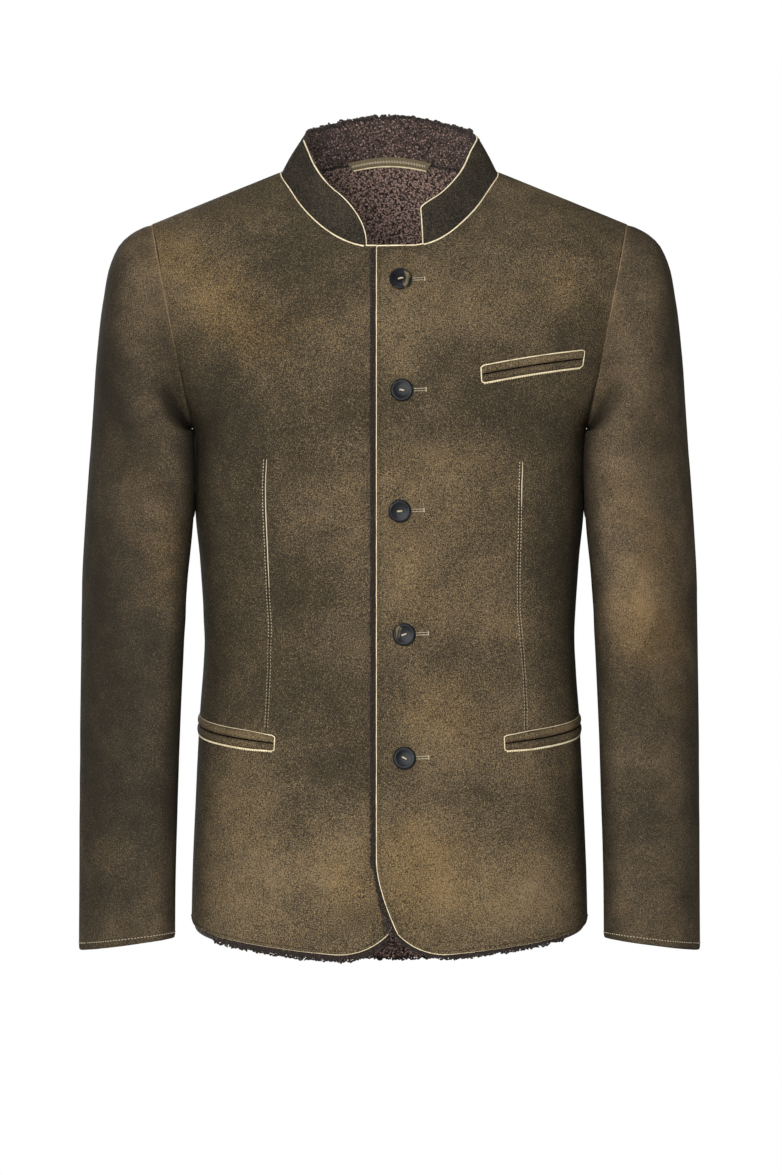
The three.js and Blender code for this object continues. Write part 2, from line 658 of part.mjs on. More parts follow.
const backPanel = backGrid();
addPiece('back', panel('back', backPanel, SUEDE_LAYER, 1), suede(BODY_SUEDE));
addPiece('lining_back', panel('back', pileGrid(backPanel), PILE_LAYER, 1), suede(PILE_BROWN));
addPiece('collar', collar(), suede(COLLAR_SUEDE));
addPiece('lining_collar', collarPile(), suede(PILE_BROWN));
addPiece('neck_tape', hangerTape(), suede(TAPE_OLIVE));

for (const { name, x, z } of BUTTONS) {
  const horn = new THREE.MeshStandardMaterial({ color: HORN, roughness: 0.3, metalness: 0 });
  const button = addPiece(name, buttonGeometry(), horn);
  const angle = angleAtX(z, x, LAP_RISE);
  const normal = bodyNormal('front', angle, z, LAP_RISE);
  const side = new THREE.Vector3(0, 0, 1).cross(normal).normalize();
  const up = normal.clone().cross(side);
  button.matrix.makeBasis(side, up, normal);
  button.matrix.decompose(button.position, button.quaternion, button.scale);
  button.position.copy(bodyPoint('front', angle, z, LAP_RISE)).addScaledVector(normal, BUTTON_LIFT);
}

export default jacket;
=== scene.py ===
"""A shearling suede jacket with a stand collar and five horn buttons.

Each operator makes one piece, or a group of like pieces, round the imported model. Shapes are worked out in the model's
millimetres, with the front towards -Y, the wearer's left at +X and the origin in the middle of the neck base, and
become metres when a mesh is made.
"""

import math

import bpy
import numpy as np
from bpy.props import FloatProperty, FloatVectorProperty, PointerProperty
from mathutils import Matrix, Vector


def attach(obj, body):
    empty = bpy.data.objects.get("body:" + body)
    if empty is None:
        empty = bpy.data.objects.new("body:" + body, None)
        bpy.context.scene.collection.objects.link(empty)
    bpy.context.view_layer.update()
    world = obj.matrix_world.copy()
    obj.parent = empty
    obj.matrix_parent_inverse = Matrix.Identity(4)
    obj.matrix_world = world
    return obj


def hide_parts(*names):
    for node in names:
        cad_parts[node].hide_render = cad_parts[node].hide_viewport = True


bl_info = {
    "name": "Shearling jacket",
    "version": (1, 0, 0),
    "blender": (4, 5, 0),
    "location": "View3D > Sidebar > Jacket",
    "description": "Builds a suede shearling jacket round its packed model",
    "category": "Add Mesh",
}

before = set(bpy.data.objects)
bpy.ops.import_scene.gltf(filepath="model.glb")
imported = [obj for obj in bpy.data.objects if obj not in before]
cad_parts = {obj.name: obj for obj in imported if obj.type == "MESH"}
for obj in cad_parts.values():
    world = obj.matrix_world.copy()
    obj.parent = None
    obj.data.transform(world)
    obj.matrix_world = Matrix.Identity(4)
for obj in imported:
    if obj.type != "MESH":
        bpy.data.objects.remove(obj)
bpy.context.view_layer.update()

MM = 0.001

# ---- the jacket's sizes, as in the model ----

SKIN = 2.0
PILE = 5.0
PILE_GAP = 0.6
LAP_PILE_LOSS = 2.5
SEAM = 0.3
SHOULDER_NECK = (98.0, 6.0)
SHOULDER_TIP = (218.0, -43.0)
ARMPIT = (181.0, -230.0)
ARMHOLE_HALF_DEPTH = 62.0
ARMHOLE_POWER = 2.5
SHOULDER_SOFTNESS = 16.0
SHOULDER_SOFT_ANGLE = 0.3
SECTION_POWER = 2.4
NECK_DROP_FRONT = 72.5
NECK_DROP_POWER = 2.4
NECK_DROP_EASE = 1.3
NECK_DROP_SOFTNESS = 0.2
NECK_FULLNESS = 13.0
NECK_RISE_BACK = 12.0
BACK_NECK_TAPER = 1.6
HEM_SIDE = -679.0
HEM_DIP = {"front": 32.0, "back": 38.0}
CORNER_RADIUS = 68.0
CORNER_LEVEL = -641.0
HEM_BEND_START = -560.0
HEM_LEVEL = -689.0
TOP_EDGE_INNER = -65.4
TOP_EDGE_OUTER = -66.0
# How far each front reaches past the centre, on the wearer's left and right.
BEYOND = {1: 11.5, -1: 18.0}
LAP_RISE = 3.5
LAP_FULL = 20.0
LAP_END = 72.0
# How far the wool shows past the front edge and the hem, spreads at the rounded corner, and how much painted shade
# darkens it at its rims.
PILE_PAST_EDGE = 3.5
PILE_PAST_HEM = 5.0
PILE_PAST_HEM_LEFT = 3.4
EDGE_WOOL_SPREAD = 5.5
RIM_SHADE = -0.4
# How far the pale bead on the level top edge stands out of the skin.
TOP_BEAD_OUT = 0.5
TOP_BEAD_UP = 0.4
COLLAR_HEIGHT = 38.0
COLLAR_STEP = 2.2
COLLAR_WOOL_SINK = 0.4
COLLAR_WOOL_RISE = 4.4
COLLAR_END_LEVEL = {1: -64.0, -1: -65.4}
COLLAR_ROUNDING = {1: (18.0, 5.5), -1: (35.0, 38.0)}
TAPE_HALF_WIDTH = 52.0
TAPE_DROOP = 3.0
TAPE_LOWER_SHARE = 0.86
ZIGZAG_PITCH = 2.6
BUTTON_THICKNESS = 3.4
BUTTON_LIFT = 0.8
HOLE_RADIUS = 1.1
HOLE_SPACING = 4.4

# Height, depth in front, depth behind of the body's sections, and half widths below the armpits.
BODY_DEPTHS = [
    (18, 22, 76), (6, 30, 80), (-10, 42, 84), (-25, 57, 88), (-50, 76, 95), (-66, 87, 99.5), (-110, 107, 109),
    (-160, 120, 115.5), (-230, 126, 118), (-310, 123, 113), (-350, 120, 110), (-425, 117, 109), (-500, 121, 114),
    (-572, 126, 120), (-646, 130, 125), (-730, 131, 127),
]
BODY_WIDTHS = [
    (-230, 181), (-310, 178), (-350, 174), (-425, 170), (-500, 174.5), (-572, 178), (-646, 181), (-730, 182.5),
]

# Sleeve head: turn, near and far edge from the pivot, half depth, centre, yaw, power. Arm: height, centre, half
# width, half depth, centre.
HEAD_ROWS = [
    (11.2, 6, 196.6, 62, 0, 0, 2.5), (16.5, 6, 193.9, 65, 0, 2, 2.4), (21.2, 6, 187.5, 67, -1, 4, 2.3),
    (25.5, 6, 176, 69, -1, 6, 2.2), (33.9, 6, 149.2, 71, -2, 10, 2.1), (45.4, 5, 123.8, 73, -4, 15, 2),
    (61.4, 3, 104.4, 74, -6, 20, 2), (90, -1, 95.2, 75, -8, 26, 2),
]
ARM_ROWS = [
    (-270, 227.5, 50, 75, -9), (-315, 230, 50.5, 74, -10), (-370, 234, 49.4, 72, -12), (-430, 236, 48, 69, -14),
    (-500, 238, 46.7, 65, -18), (-570, 239.3, 45.7, 61, -23), (-640, 240.2, 44.7, 58, -29),
    (-702, 240.5, 44.5, 56, -34),
]
ARM_YAW = 26
CUFF_TILT = 6

# Pocket windows: front end from the centre, height there, length round the body, rise per length, window height, how
# far the middle arches up, and how much the front end narrows. The gap is half the slit between the two welts.
WELT_GAP = 0.6
LOWER_POCKET = {"x": 105, "z": -518.3, "length": 134, "rise": 0.135, "height": 15.4, "arch": -0.9, "taper": 1.2}
POCKETS = {
    "chest": {"side": 1, "x": 84, "z": -183.5, "length": 99, "rise": 0.155, "height": 14.6, "arch": 1.1, "taper": 0.0},
    "left": {"side": 1, **LOWER_POCKET},
    "right": {"side": -1, **LOWER_POCKET},
}
# Buttons as (distance from the centre, height), and how far each is turned.
BUTTONS = [(10.1, -97.2), (11.2, -198.1), (9.3, -307.4), (13.2, -419.2), (13.5, -531.4)]
BUTTON_TURNS = (14, -9, 4, 20, -28)

# Waist darts as (distance from the centre, height) down each front.
DARTS = {
    1: [(119.2, -262), (118.3, -326), (117.4, -373), (120.1, -428), (123.8, -474), (123.8, -507)],
    -1: [(112.8, -260), (113.7, -280), (111.9, -346), (109.2, -410), (110.1, -465), (111.9, -505)],
}

# ---- wear and painted light and shade, placed one by one ----

# Patches of the suede's mottling and of painted light and shade, such as painted light down the wearer's left sleeve's
# outer side: x, z, reach across, reach up, lighter or darker, warmer.
FRONT_PATCHES = [
    (-158, -116, 50, 41, 0.5, 0.55), (-199, -66, 24, 27, 0.3, 0.3), (-136, -45, 45, 20, 0.12, 0.1),
    (-81, -81, 54, 45, -0.38, -0.1), (-40, -143, 31, 36, 0.38, 0.25), (-116, -163, 45, 33, 0.12, 0.35),
    (-158, -211, 31, 54, -0.5, 0), (-49, -217, 36, 31, -0.14, 0), (-54, -315, 44, 56, 0.34, 0.1),
    (-139, -315, 35, 54, -0.3, 0), (-81, -381, 56, 33, -0.3, 0), (-128, -438, 36, 36, -0.16, 0.1),
    (-49, -426, 40, 36, 0.2, 0.1), (-85, -479, 64, 25, -0.4, 0), (-49, -538, 54, 27, -0.36, 0),
    (-147, -570, 35, 54, 0.42, 0.1), (-105, -635, 54, 42, 0.34, 0.1), (-40, -630, 31, 36, 0.34, 0.3),
    (-148, -665, 31, 33, 0.26, 0.1), (-88, -595, 27, 18, -0.3, 0), (8, -134, 18, 54, 0.36, 0.1),
    (48, -105, 42, 42, 0.26, 0.1), (119, -70, 54, 33, 0.1, 0), (84, -120, 42, 25, 0.26, 0.1),
    (157, -108, 35, 27, 0.28, 0.3), (166, -148, 31, 27, -0.22, 0), (66, -208, 44, 42, -0.36, 0),
    (122, -229, 54, 33, -0.36, 0), (37, -268, 40, 42, 0.26, 0.1), (17, -352, 31, 54, 0.42, 0.25),
    (73, -315, 33, 42, -0.14, 0), (155, -315, 25, 54, -0.34, 0), (151, -388, 25, 51, -0.2, 0),
    (86, -404, 42, 25, 0.28, 0.15), (44, -482, 33, 31, 0.16, 0.35), (84, -446, 31, 22, -0.26, 0),
    (37, -520, 31, 27, 0.24, 0.15), (104, -570, 51, 33, -0.38, 0), (46, -565, 27, 22, -0.18, 0),
    (26, -626, 35, 42, 0.52, 0.55), (77, -663, 53, 27, 0.46, 0.35), (141, -651, 35, 33, 0.24, 0.1),
    (157, -590, 25, 31, -0.3, 0), (-234, -107, 25, 36, 0.26, 0.1), (-254, -211, 22, 51, -0.1, 0),
    (-243, -281, 27, 42, 0.2, 0.1), (-204, -352, 22, 51, 0.2, 0.45), (-263, -388, 22, 42, -0.2, 0),
    (-236, -470, 31, 42, -0.34, 0), (-256, -570, 31, 64, -0.44, 0), (-216, -597, 25, 64, -0.56, 0),
    (-245, -665, 31, 31, -0.28, 0), (247, -107, 24, 36, 0.2, 0.1), (208, -143, 16, 51, 0.34, 0.35),
    (242, -208, 25, 42, 0.24, 0.1), (208, -270, 20, 42, 0.3, 0.15), (257, -352, 22, 42, -0.22, 0),
    (227, -408, 33, 40, 0.42, 0.65), (266, -479, 22, 36, 0.24, 0.3), (238, -574, 40, 42, -0.4, 0),
    (209, -624, 27, 42, -0.3, 0), (249, -665, 31, 27, -0.2, 0), (95, -258, 58, 38, 0.26, 0.05),
    (236, -362, 34, 52, 0.5, 0.3), (-240, -330, 34, 80, -0.22, -0.1), (-240, -180, 30, 60, -0.2, 0),
    (-60, -180, 60, 60, -0.14, 0), (-90, -400, 70, 60, -0.14, 0), (40, -190, 54, 52, 0.28, 0),
    (44, -322, 56, 54, 0.26, 0.05), (48, -500, 66, 50, 0.26, 0.05), (122, -548, 66, 72, 0.36, 0.05),
    (40, -575, 56, 40, 0.2, 0), (196, -560, 34, 84, 0.22, 0), (204, -310, 34, 120, 0.16, 0),
    (264, -330, 20, 190, 0.34, 0.1), (262, -560, 20, 90, 0.2, 0), (-104, -118, 44, 30, -0.16, 0),
    (-100, -284, 46, 46, -0.2, 0), (-150, -330, 30, 60, -0.1, 0), (-246, -670, 30, 40, -0.24, 0),
]
BACK_PATCHES = [
    (-120, -60, 60, 30, 0.3, 0.2), (110, -70, 55, 34, 0.34, 0.35), (0, -50, 60, 30, -0.2, 0),
    (-60, -150, 50, 50, -0.36, 0), (40, -170, 46, 44, 0.2, 0.1), (150, -190, 40, 60, -0.34, 0),
    (-150, -200, 34, 60, 0.16, 0.25), (0, -290, 60, 60, 0.32, 0.15), (-110, -330, 44, 50, -0.3, 0),
    (105, -320, 50, 44, 0.14, 0.3), (60, -430, 60, 34, -0.3, 0), (-60, -440, 46, 40, 0.26, 0.1),
    (-140, -480, 34, 54, -0.2, 0), (140, -500, 36, 56, 0.3, 0.2), (0, -540, 54, 40, -0.26, 0),
    (-90, -600, 56, 44, 0.44, 0.4), (70, -620, 60, 42, 0.4, 0.3), (0, -680, 50, 26, 0.16, 0.1),
    (235, -110, 28, 42, 0.24, 0.2), (250, -230, 26, 54, -0.2, 0), (228, -370, 32, 50, 0.36, 0.5),
    (250, -500, 30, 60, -0.34, 0), (232, -620, 32, 46, -0.4, 0), (-240, -120, 28, 44, 0.2, 0.1),
    (-228, -260, 30, 54, 0.16, 0.3), (-255, -400, 26, 54, -0.24, 0), (-230, -500, 34, 50, 0.1, 0.3),
    (-245, -620, 34, 60, -0.46, 0),
]

# Creases of the worn leather: from x, z to x, z, half width, depth (a ridge where negative).
FRONT_CREASES = [
    (-176, -236, -118, -208, 9, 1.3), (-172, -262, -132, -262, 8, 0.8), (-170, -214, -140, -168, 7, -0.7),
    (172, -240, 122, -216, 9, 1.1), (168, -258, 120, -268, 10, -0.8), (176, -214, 148, -176, 7, 0.6),
    (-160, -425, -96, -404, 12, 1.6), (-164, -402, -124, -388, 9, -0.9), (-158, -452, -110, -452, 9, 0.9),
    (166, -418, 104, -398, 12, 1.4), (168, -446, 128, -438, 9, -0.8), (150, -472, 92, -484, 10, 0.8),
    (-60, -250, -18, -214, 10, 0.7), (52, -352, 20, -318, 11, 0.7), (-70, -560, -24, -540, 14, 0.8),
    (58, -600, 112, -624, 16, 0.9), (-150, -600, -112, -640, 14, 0.8),
    (-196, -378, -232, -352, 11, 1.9), (-194, -402, -222, -392, 9, -1.1), (-198, -420, -250, -404, 9, 1.1),
    (-206, -262, -226, -236, 9, 0.7), (-200, -292, -232, -278, 10, 0.6), (-212, -560, -262, -540, 14, 0.9),
    (198, -392, 240, -362, 12, 1.8), (196, -414, 228, -406, 9, -1.0), (206, -440, 256, -418, 9, 0.9),
    (204, -258, 230, -232, 9, 0.7), (202, -284, 240, -270, 10, 0.5), (214, -600, 262, -580, 14, 0.8),
]
BACK_CREASES = [
    (-170, -240, -100, -200, 12, 1.5), (-166, -268, -110, -262, 9, 0.9), (172, -236, 106, -206, 12, 1.6),
    (168, -274, 120, -262, 8, 0.9), (-70, -395, 60, -405, 13, 1.7), (-100, -428, 20, -436, 11, 1.1),
    (10, -372, 96, -378, 9, -0.9), (-150, -420, -96, -400, 10, 1.2), (150, -430, 92, -408, 11, 1.3),
    (-80, -120, -30, -160, 14, 0.9), (84, -112, 26, -150, 14, 0.9), (-60, -590, -20, -660, 18, 1.0),
    (80, -580, 60, -660, 18, 1.1), (200, -360, 262, -384, 12, 1.5), (206, -400, 258, -408, 9, 1.0),
    (-200, -366, -260, -382, 12, 1.6), (-204, -398, -252, -412, 9, 0.9), (206, -236, 246, -250, 11, 1.1),
    (-208, -240, -244, -262, 11, 1.0), (214, -520, 262, -536, 14, 0.8), (-216, -540, -260, -560, 14, 0.9),
]

# How far a raised cord runs down from the top of each dart, and where rows of stitches lie beside a dart and an edge.
DART_TOP = {1: 44.0, -1: 118.0}
DART_ROW = 1.45
EDGE_ROW = 2.9

SEAM_SINK = 0.4
SEAM_SINK_WIDTH = 2.2
SEAM_ROLL = 0.45
SEAM_ROLL_DISTANCE = 7.0
SEAM_ROLL_WIDTH = 4.0
# The dark fold under each arm, painted as shade: its reach, radius and drop below the armpit.
UNDERARM_REACH = 44.0
UNDERARM_RADIUS = 3.0
UNDERARM_DROP = 3.6
# The short fold below each armpit, painted dark as shade: distance from the centre, place in depth, top, foot, radius.
ARMPIT_FOLD = (180.4, -8.0, -284.0, -313.0, 2.1)
# Painted shade: the suede darker where it faces sideways, and darker in its upper part, fading out between the two
# heights.
SIDE_SHADE = 0.4
UPPER_SHADE = 0.3
UPPER_SHADE_HEIGHTS = (-640, -500)


# ---- numbers and curves ----

def smoothstep(low, high, value):
    t = np.clip((value - low) / (high - low), 0, 1)
    return t * t * (3 - 2 * t)


class Profile:
    """A monotone curve through rows of (key, value)."""

    def __init__(self, rows):
        rows = sorted(rows)
        self.keys = np.array([row[0] for row in rows], float)
        self.values = np.array([row[1] for row in rows], float)
        slopes = np.diff(self.values) / np.diff(self.keys)
        before, after = slopes[:-1], slopes[1:]
        same_way = before * after > 0
        total = np.where(same_way, before + after, 1)
        inner = np.where(same_way, 2 * before * after / total, 0)
        self.tangents = np.concatenate([slopes[:1], inner, slopes[-1:]])

    def __call__(self, at):
        at = np.clip(at, self.keys[0], self.keys[-1])
        i = np.clip(np.searchsorted(self.keys, at, side="right") - 1, 0, len(self.keys) - 2)
        height = self.keys[i + 1] - self.keys[i]
        t = (at - self.keys[i]) / height
        start = (1 + 2 * t) * (1 - t) ** 2 * self.values[i] + t * (1 - t) ** 2 * height * self.tangents[i]
        end = t * t * (3 - 2 * t) * self.values[i + 1] - t * t * (1 - t) * height * self.tangents[i + 1]
        return start + end


def smooth_through(keys, values, at):
    """A smooth curve through rows of values at uneven keys."""
    keys, values = np.asarray(keys, float), np.asarray(values, float)
    slopes = np.diff(values, axis=0) / np.diff(keys)[:, None]
    tangents = np.empty_like(values)
    tangents[0], tangents[-1] = slopes[0], slopes[-1]
    before, after = np.diff(keys)[:-1, None], np.diff(keys)[1:, None]
    tangents[1:-1] = (slopes[:-1] * after + slopes[1:] * before) / (before + after)
    i = np.clip(np.searchsorted(keys, at, side="right") - 1, 0, len(keys) - 2)
    height = (keys[i + 1] - keys[i])[:, None]
    t = ((at - keys[i]) / height[:, 0])[:, None]
    start = (1 + 2 * t) * (1 - t) ** 2 * values[i] + t * (1 - t) ** 2 * height * tangents[i]
    end = t * t * (3 - 2 * t) * values[i + 1] - t * t * (1 - t) * height * tangents[i + 1]
    return start + end


def spaced(*stretches):
    """Numbers over stretches of (start, end, step), with the last end."""
    parts = []
    for start, end, step in stretches:
        count = max(1, round(abs(end - start) / step))
        parts.append(np.linspace(start, end, count, endpoint=False))
    return np.concatenate(parts + [[stretches[-1][1]]])


def unit(vectors):
    return vectors / np.maximum(np.linalg.norm(vectors, axis=-1, keepdims=True), 1e-9)


def round_turns(sides):
    return 2 * math.pi * np.arange(sides) / sides


def mirrored(side, *grids):
    """Grids of points or directions, on the wearer's left or right."""
    return [grid * np.array([side, 1, 1]) for grid in grids]


def run_along(points, axis=0):
    """Distance along lines of points."""
    steps = np.linalg.norm(np.diff(points, axis=axis), axis=-1)
    zero = np.zeros_like(np.take(steps, [0], axis=axis))
    return np.cumsum(np.concatenate([zero, steps], axis=axis), axis=axis)


def resampled(points, distances, *others):
    """A line's points, and other values that go with them, at distances along it."""
    run = run_along(points)
    result = []
    for values in (points, *others):
        result.append(np.stack([np.interp(distances, run, values[:, k]) for k in range(values.shape[1])], axis=1))
    return result


# ---- the body's surface ----

DEPTHS = {
    "front": Profile([(row[0], row[1]) for row in BODY_DEPTHS]),
    "back": Profile([(row[0], row[2]) for row in BODY_DEPTHS]),
}
WIDTHS = Profile(BODY_WIDTHS)


def armhole_x(z):
    t = (SHOULDER_TIP[1] - z) / (SHOULDER_TIP[1] - ARMPIT[1])
    return SHOULDER_TIP[0] + (ARMPIT[0] - SHOULDER_TIP[0]) * t


def armhole_half_depth(z):
    middle = (SHOULDER_TIP[1] + ARMPIT[1]) / 2
    half = (SHOULDER_TIP[1] - ARMPIT[1]) / 2
    t = np.minimum(np.abs((z - middle) / half), 1)
    return ARMHOLE_HALF_DEPTH * (1 - t ** ARMHOLE_POWER) ** (1 / ARMHOLE_POWER)


def half_width(z, depth):
    at_neck = SHOULDER_NECK[0] - BACK_NECK_TAPER * (z - SHOULDER_NECK[1])
    t = (SHOULDER_NECK[1] - z) / (SHOULDER_NECK[1] - SHOULDER_TIP[1])
    on_slope = SHOULDER_NECK[0] + (SHOULDER_TIP[0] - SHOULDER_NECK[0]) * t
    rest = 1 - (armhole_half_depth(z) / depth) ** SECTION_POWER
    by_armhole = armhole_x(z) / rest ** (1 / SECTION_POWER)
    conditions = [z >= SHOULDER_NECK[1], z >= SHOULDER_TIP[1], z > ARMPIT[1]]
    return np.select(conditions, [at_neck, on_slope, by_armhole], WIDTHS(z))


def section_radius(face, angle, z):
    depth = DEPTHS[face](z)
    across = (np.abs(np.cos(angle)) / half_width(z, depth)) ** SECTION_POWER
    forward = (np.abs(np.sin(angle)) / depth) ** SECTION_POWER
    return (across + forward) ** (-1 / SECTION_POWER)


def rounded_radius(face, angle, z):
    """The section's radius, softened round the shoulder's edge."""
    reach = SHOULDER_SOFTNESS * smoothstep(0, SHOULDER_SOFT_ANGLE, np.sin(angle))
    reach = reach * smoothstep(-105, -75, z)
    total = 0
    for i, weight in enumerate((1, 2, 3, 4, 3, 2, 1)):
        total = total + weight * section_radius(face, angle, z + reach * (i / 3 - 1))
    return total / 16


def body_point(face, angle, z, lift=0.0):
    """Points of the surface on the wearer's left half. The angle is 0 at the side and 90 degrees at the centre."""
    angle, z = np.broadcast_arrays(np.asarray(angle, float), np.asarray(z, float))
    radius = rounded_radius(face, angle, z)
    radius = radius + lift * (1 - smoothstep(LAP_FULL, LAP_END, radius * np.cos(angle)))
    forward = -1 if face == "front" else 1
    return np.stack([radius * np.cos(angle), forward * radius * np.sin(angle), z], axis=-1)


def body_normal(face, angle, z, lift=0.0):
    step, rise = 0.002, 0.5
    along = body_point(face, angle + step, z, lift) - body_point(face, angle - step, z, lift)
    up = body_point(face, angle, z + rise, lift) - body_point(face, angle, z - rise, lift)
    normal = unit(np.cross(along, up))
    return -normal if face == "front" else normal


def angle_at_x(z, x, lift=0.0):
    """The angle at which the front's section reaches a distance from the centre."""
    z, x = np.broadcast_arrays(np.asarray(z, float), np.asarray(x, float))
    low, high = np.zeros(z.shape), np.full(z.shape, math.pi)
    for _ in range(34):
        middle = (low + high) / 2
        further = body_point("front", middle, z, lift)[..., 0] > x
        low, high = np.where(further, middle, low), np.where(further, high, middle)
    return low


def equal_angles(face, z, start, end, columns, lift=0.0):
    """Angles that split each row's stretch into equal lengths."""
    steps = np.linspace(0, 1, 121)
    angles = start[:, None] + (end - start)[:, None] * steps
    run = run_along(body_point(face, angles, z[:, None], lift), axis=1)
    shares = np.linspace(0, 1, columns + 1)
    return np.stack([np.interp(shares * run[i, -1], run[i], angles[i]) for i in range(len(z))])


def on_front(x, z, side, rise=0.0):
    """Points and normals of a front, at distances from the centre, raised above it."""
    lift = LAP_RISE * side
    angle = angle_at_x(z, x, lift)
    normals = body_normal("front", angle, z, lift)
    points = body_point("front", angle, z, lift) + normals * rise
    return mirrored(side, points, normals)


# ---- neckline and hem ----

def front_neck_angle(z):
    angles = np.linspace(0, math.pi / 2, 4001)
    return np.interp(-np.asarray(z, float), -neckline_z("front", angles), angles)


def back_neck_angle(z):
    return np.arcsin(np.sqrt(np.clip((z - SHOULDER_NECK[1]) / NECK_RISE_BACK, 0, 1)))


def neckline_z(face, angle):
    s = np.abs(np.sin(angle))
    if face == "back":
        return SHOULDER_NECK[1] + NECK_RISE_BACK * s * s
    eased = (1 + NECK_DROP_SOFTNESS) / (s ** NECK_DROP_EASE + NECK_DROP_SOFTNESS)
    fuller = NECK_FULLNESS * s ** 5 * (1 - s ** 6)
    return SHOULDER_NECK[1] - NECK_DROP_FRONT * s ** NECK_DROP_POWER * eased - fuller


def hem_z(face, angle):
    return HEM_SIDE - HEM_DIP[face] * np.abs(np.sin(angle)) ** 0.9


def bend_to_hem(z, bottom):
    share = np.maximum(0, (z - HEM_BEND_START) / (HEM_LEVEL - HEM_BEND_START)) ** 2
    return z + (bottom - HEM_LEVEL) * share


# ---- wear, creases and painted light and shade ----

def facing_front(normals):
    return smoothstep(-0.35, 0.35, -normals[..., 1])


def crease_move(points, normals):
    """How far the creases move a surface out, in millimetres."""
    x, z = points[..., 0], points[..., 2]
    front = facing_front(normals)
    move = np.zeros(x.shape)
    for table, share in ((FRONT_CREASES, front), (BACK_CREASES, 1 - front)):
        for x0, z0, x1, z1, width, depth in table:
            length = math.hypot(x1 - x0, z1 - z0)
            ux, uz = (x1 - x0) / length, (z1 - z0) / length
            along = (x - x0) * ux + (z - z0) * uz
            bow = 0.12 * length * np.sin(np.clip(along / length, 0, 1) * math.pi)
            across = (x - x0) * uz - (z - z0) * ux - bow
            beyond = np.maximum(0, np.maximum(-along, along - length))
            fade = np.exp(-(beyond / (2.2 * width)) ** 2) * (0.35 + 0.65 * smoothstep(-0.1, 0.5, along / length))
            move -= share * depth * fade * np.exp(-(across / width) ** 2)
    return move


def wear_and_painted_light(points, normals):
    """Tone and warmth of the suede at points: its patches of mottling and painted light, and painted shade where it
    faces sideways and in its upper part.
    """
    x, z = points[..., 0], points[..., 2]
    front = facing_front(normals)
    tone, warmth = np.zeros(x.shape), np.zeros(x.shape)
    for table, share in ((FRONT_PATCHES, front), (BACK_PATCHES, 1 - front)):
        for px, pz, rx, rz, light, warm in table:
            near = share * np.exp(-(((x - px) / rx) ** 2 + ((z - pz) / rz) ** 2))
            tone += near * light
            warmth += near * warm
    # Painted shade: darker where the suede faces sideways and in its upper part.
    sideways = np.abs(normals[..., 0])
    tone -= SIDE_SHADE * smoothstep(0.5, 1.0, sideways)
    return tone - UPPER_SHADE * smoothstep(*UPPER_SHADE_HEIGHTS, z), warmth


def seam_move(distance):
    """A sewn edge sinks, with a low roll beside it."""
    return -SEAM_SINK * np.exp(-(distance / SEAM_SINK_WIDTH) ** 2) + SEAM_ROLL * np.exp(
        -((distance - SEAM_ROLL_DISTANCE) / SEAM_ROLL_WIDTH) ** 2
    )


# ---- meshes ----

def linked(name, data):
    """A new object in the scene."""
    item = bpy.data.objects.new(name, data)
    bpy.context.scene.collection.objects.link(item)
    return item


class Shape:
    """Points, faces and tones gathered for one mesh."""

    def __init__(self):
        self.points, self.faces, self.tones, self.warmths, self.material_of = [], [], [], [], []
        self.count = 0

    def add(self, points, faces, tone=0.0, warmth=0.0, material=0):
        points = np.asarray(points, float).reshape(-1, 3)
        self.points.append(points)
        self.tones.append(np.broadcast_to(tone, len(points)))
        self.warmths.append(np.broadcast_to(warmth, len(points)))
        for group in faces:
            group = np.asarray(group) + self.count
            self.faces.extend(group.tolist())
            self.material_of.extend([material] * len(group))
        self.count += len(points)

    def build(self, name, slot, *finishes):
        points = np.concatenate(self.points) * MM
        mesh = bpy.data.meshes.new(name)
        mesh.from_pydata(points.tolist(), [], self.faces)
        for finish in finishes:
            mesh.materials.append(finish_of(finish))
        mesh.polygons.foreach_set("material_index", np.array(self.material_of, np.int32))
        mesh.shade_smooth()
        mesh.set_sharp_from_angle(angle=math.radians(60))
        for label, values in (("tone", self.tones), ("warmth", self.warmths)):
            attribute = mesh.attributes.new(label, "FLOAT", "POINT")
            attribute.data.foreach_set("value", np.concatenate(values).astype(np.float32))
        mesh.update()
        piece = linked(name, mesh)
        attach(piece, "root")
        return piece


def shell_faces(outer, inner, closed_round=False):
    """Faces of a closed wall between two grids: those of the outer side, those of the inner side, and the rims."""
    rows, columns = outer.shape[:2]
    index = np.arange(rows * columns).reshape(rows, columns)
    if closed_round:
        index = np.concatenate([index, index[:, :1]], axis=1)
    a, b, c, d = index[:-1, :-1], index[:-1, 1:], index[1:, 1:], index[1:, :-1]
    face = np.stack([a, b, c, d], axis=-1).reshape(-1, 4)
    under = rows * columns
    rims = [
        np.stack([index[0, 1:], index[0, :-1], index[0, :-1] + under, index[0, 1:] + under], axis=1),
        np.stack([index[-1, :-1], index[-1, 1:], index[-1, 1:] + under, index[-1, :-1] + under], axis=1),
    ]
    if not closed_round:
        rims.append(np.stack([index[:-1, 0], index[1:, 0], index[1:, 0] + under, index[:-1, 0] + under], axis=1))
        rims.append(np.stack([index[1:, -1], index[:-1, -1], index[:-1, -1] + under, index[1:, -1] + under], axis=1))
    parts = [face, face[:, ::-1] + under, np.concatenate(rims)]
    points = np.concatenate([outer.reshape(-1, 3), inner.reshape(-1, 3)])
    volume = 0.0
    for part in parts:
        p = points[part]
        volume += np.einsum("ij,ij->", p[:, 0], np.cross(p[:, 1], p[:, 2]))
        volume += np.einsum("ij,ij->", p[:, 0], np.cross(p[:, 2], p[:, 3]))
    if volume < 0:
        parts = [part[:, ::-1] for part in parts]
    return points, parts


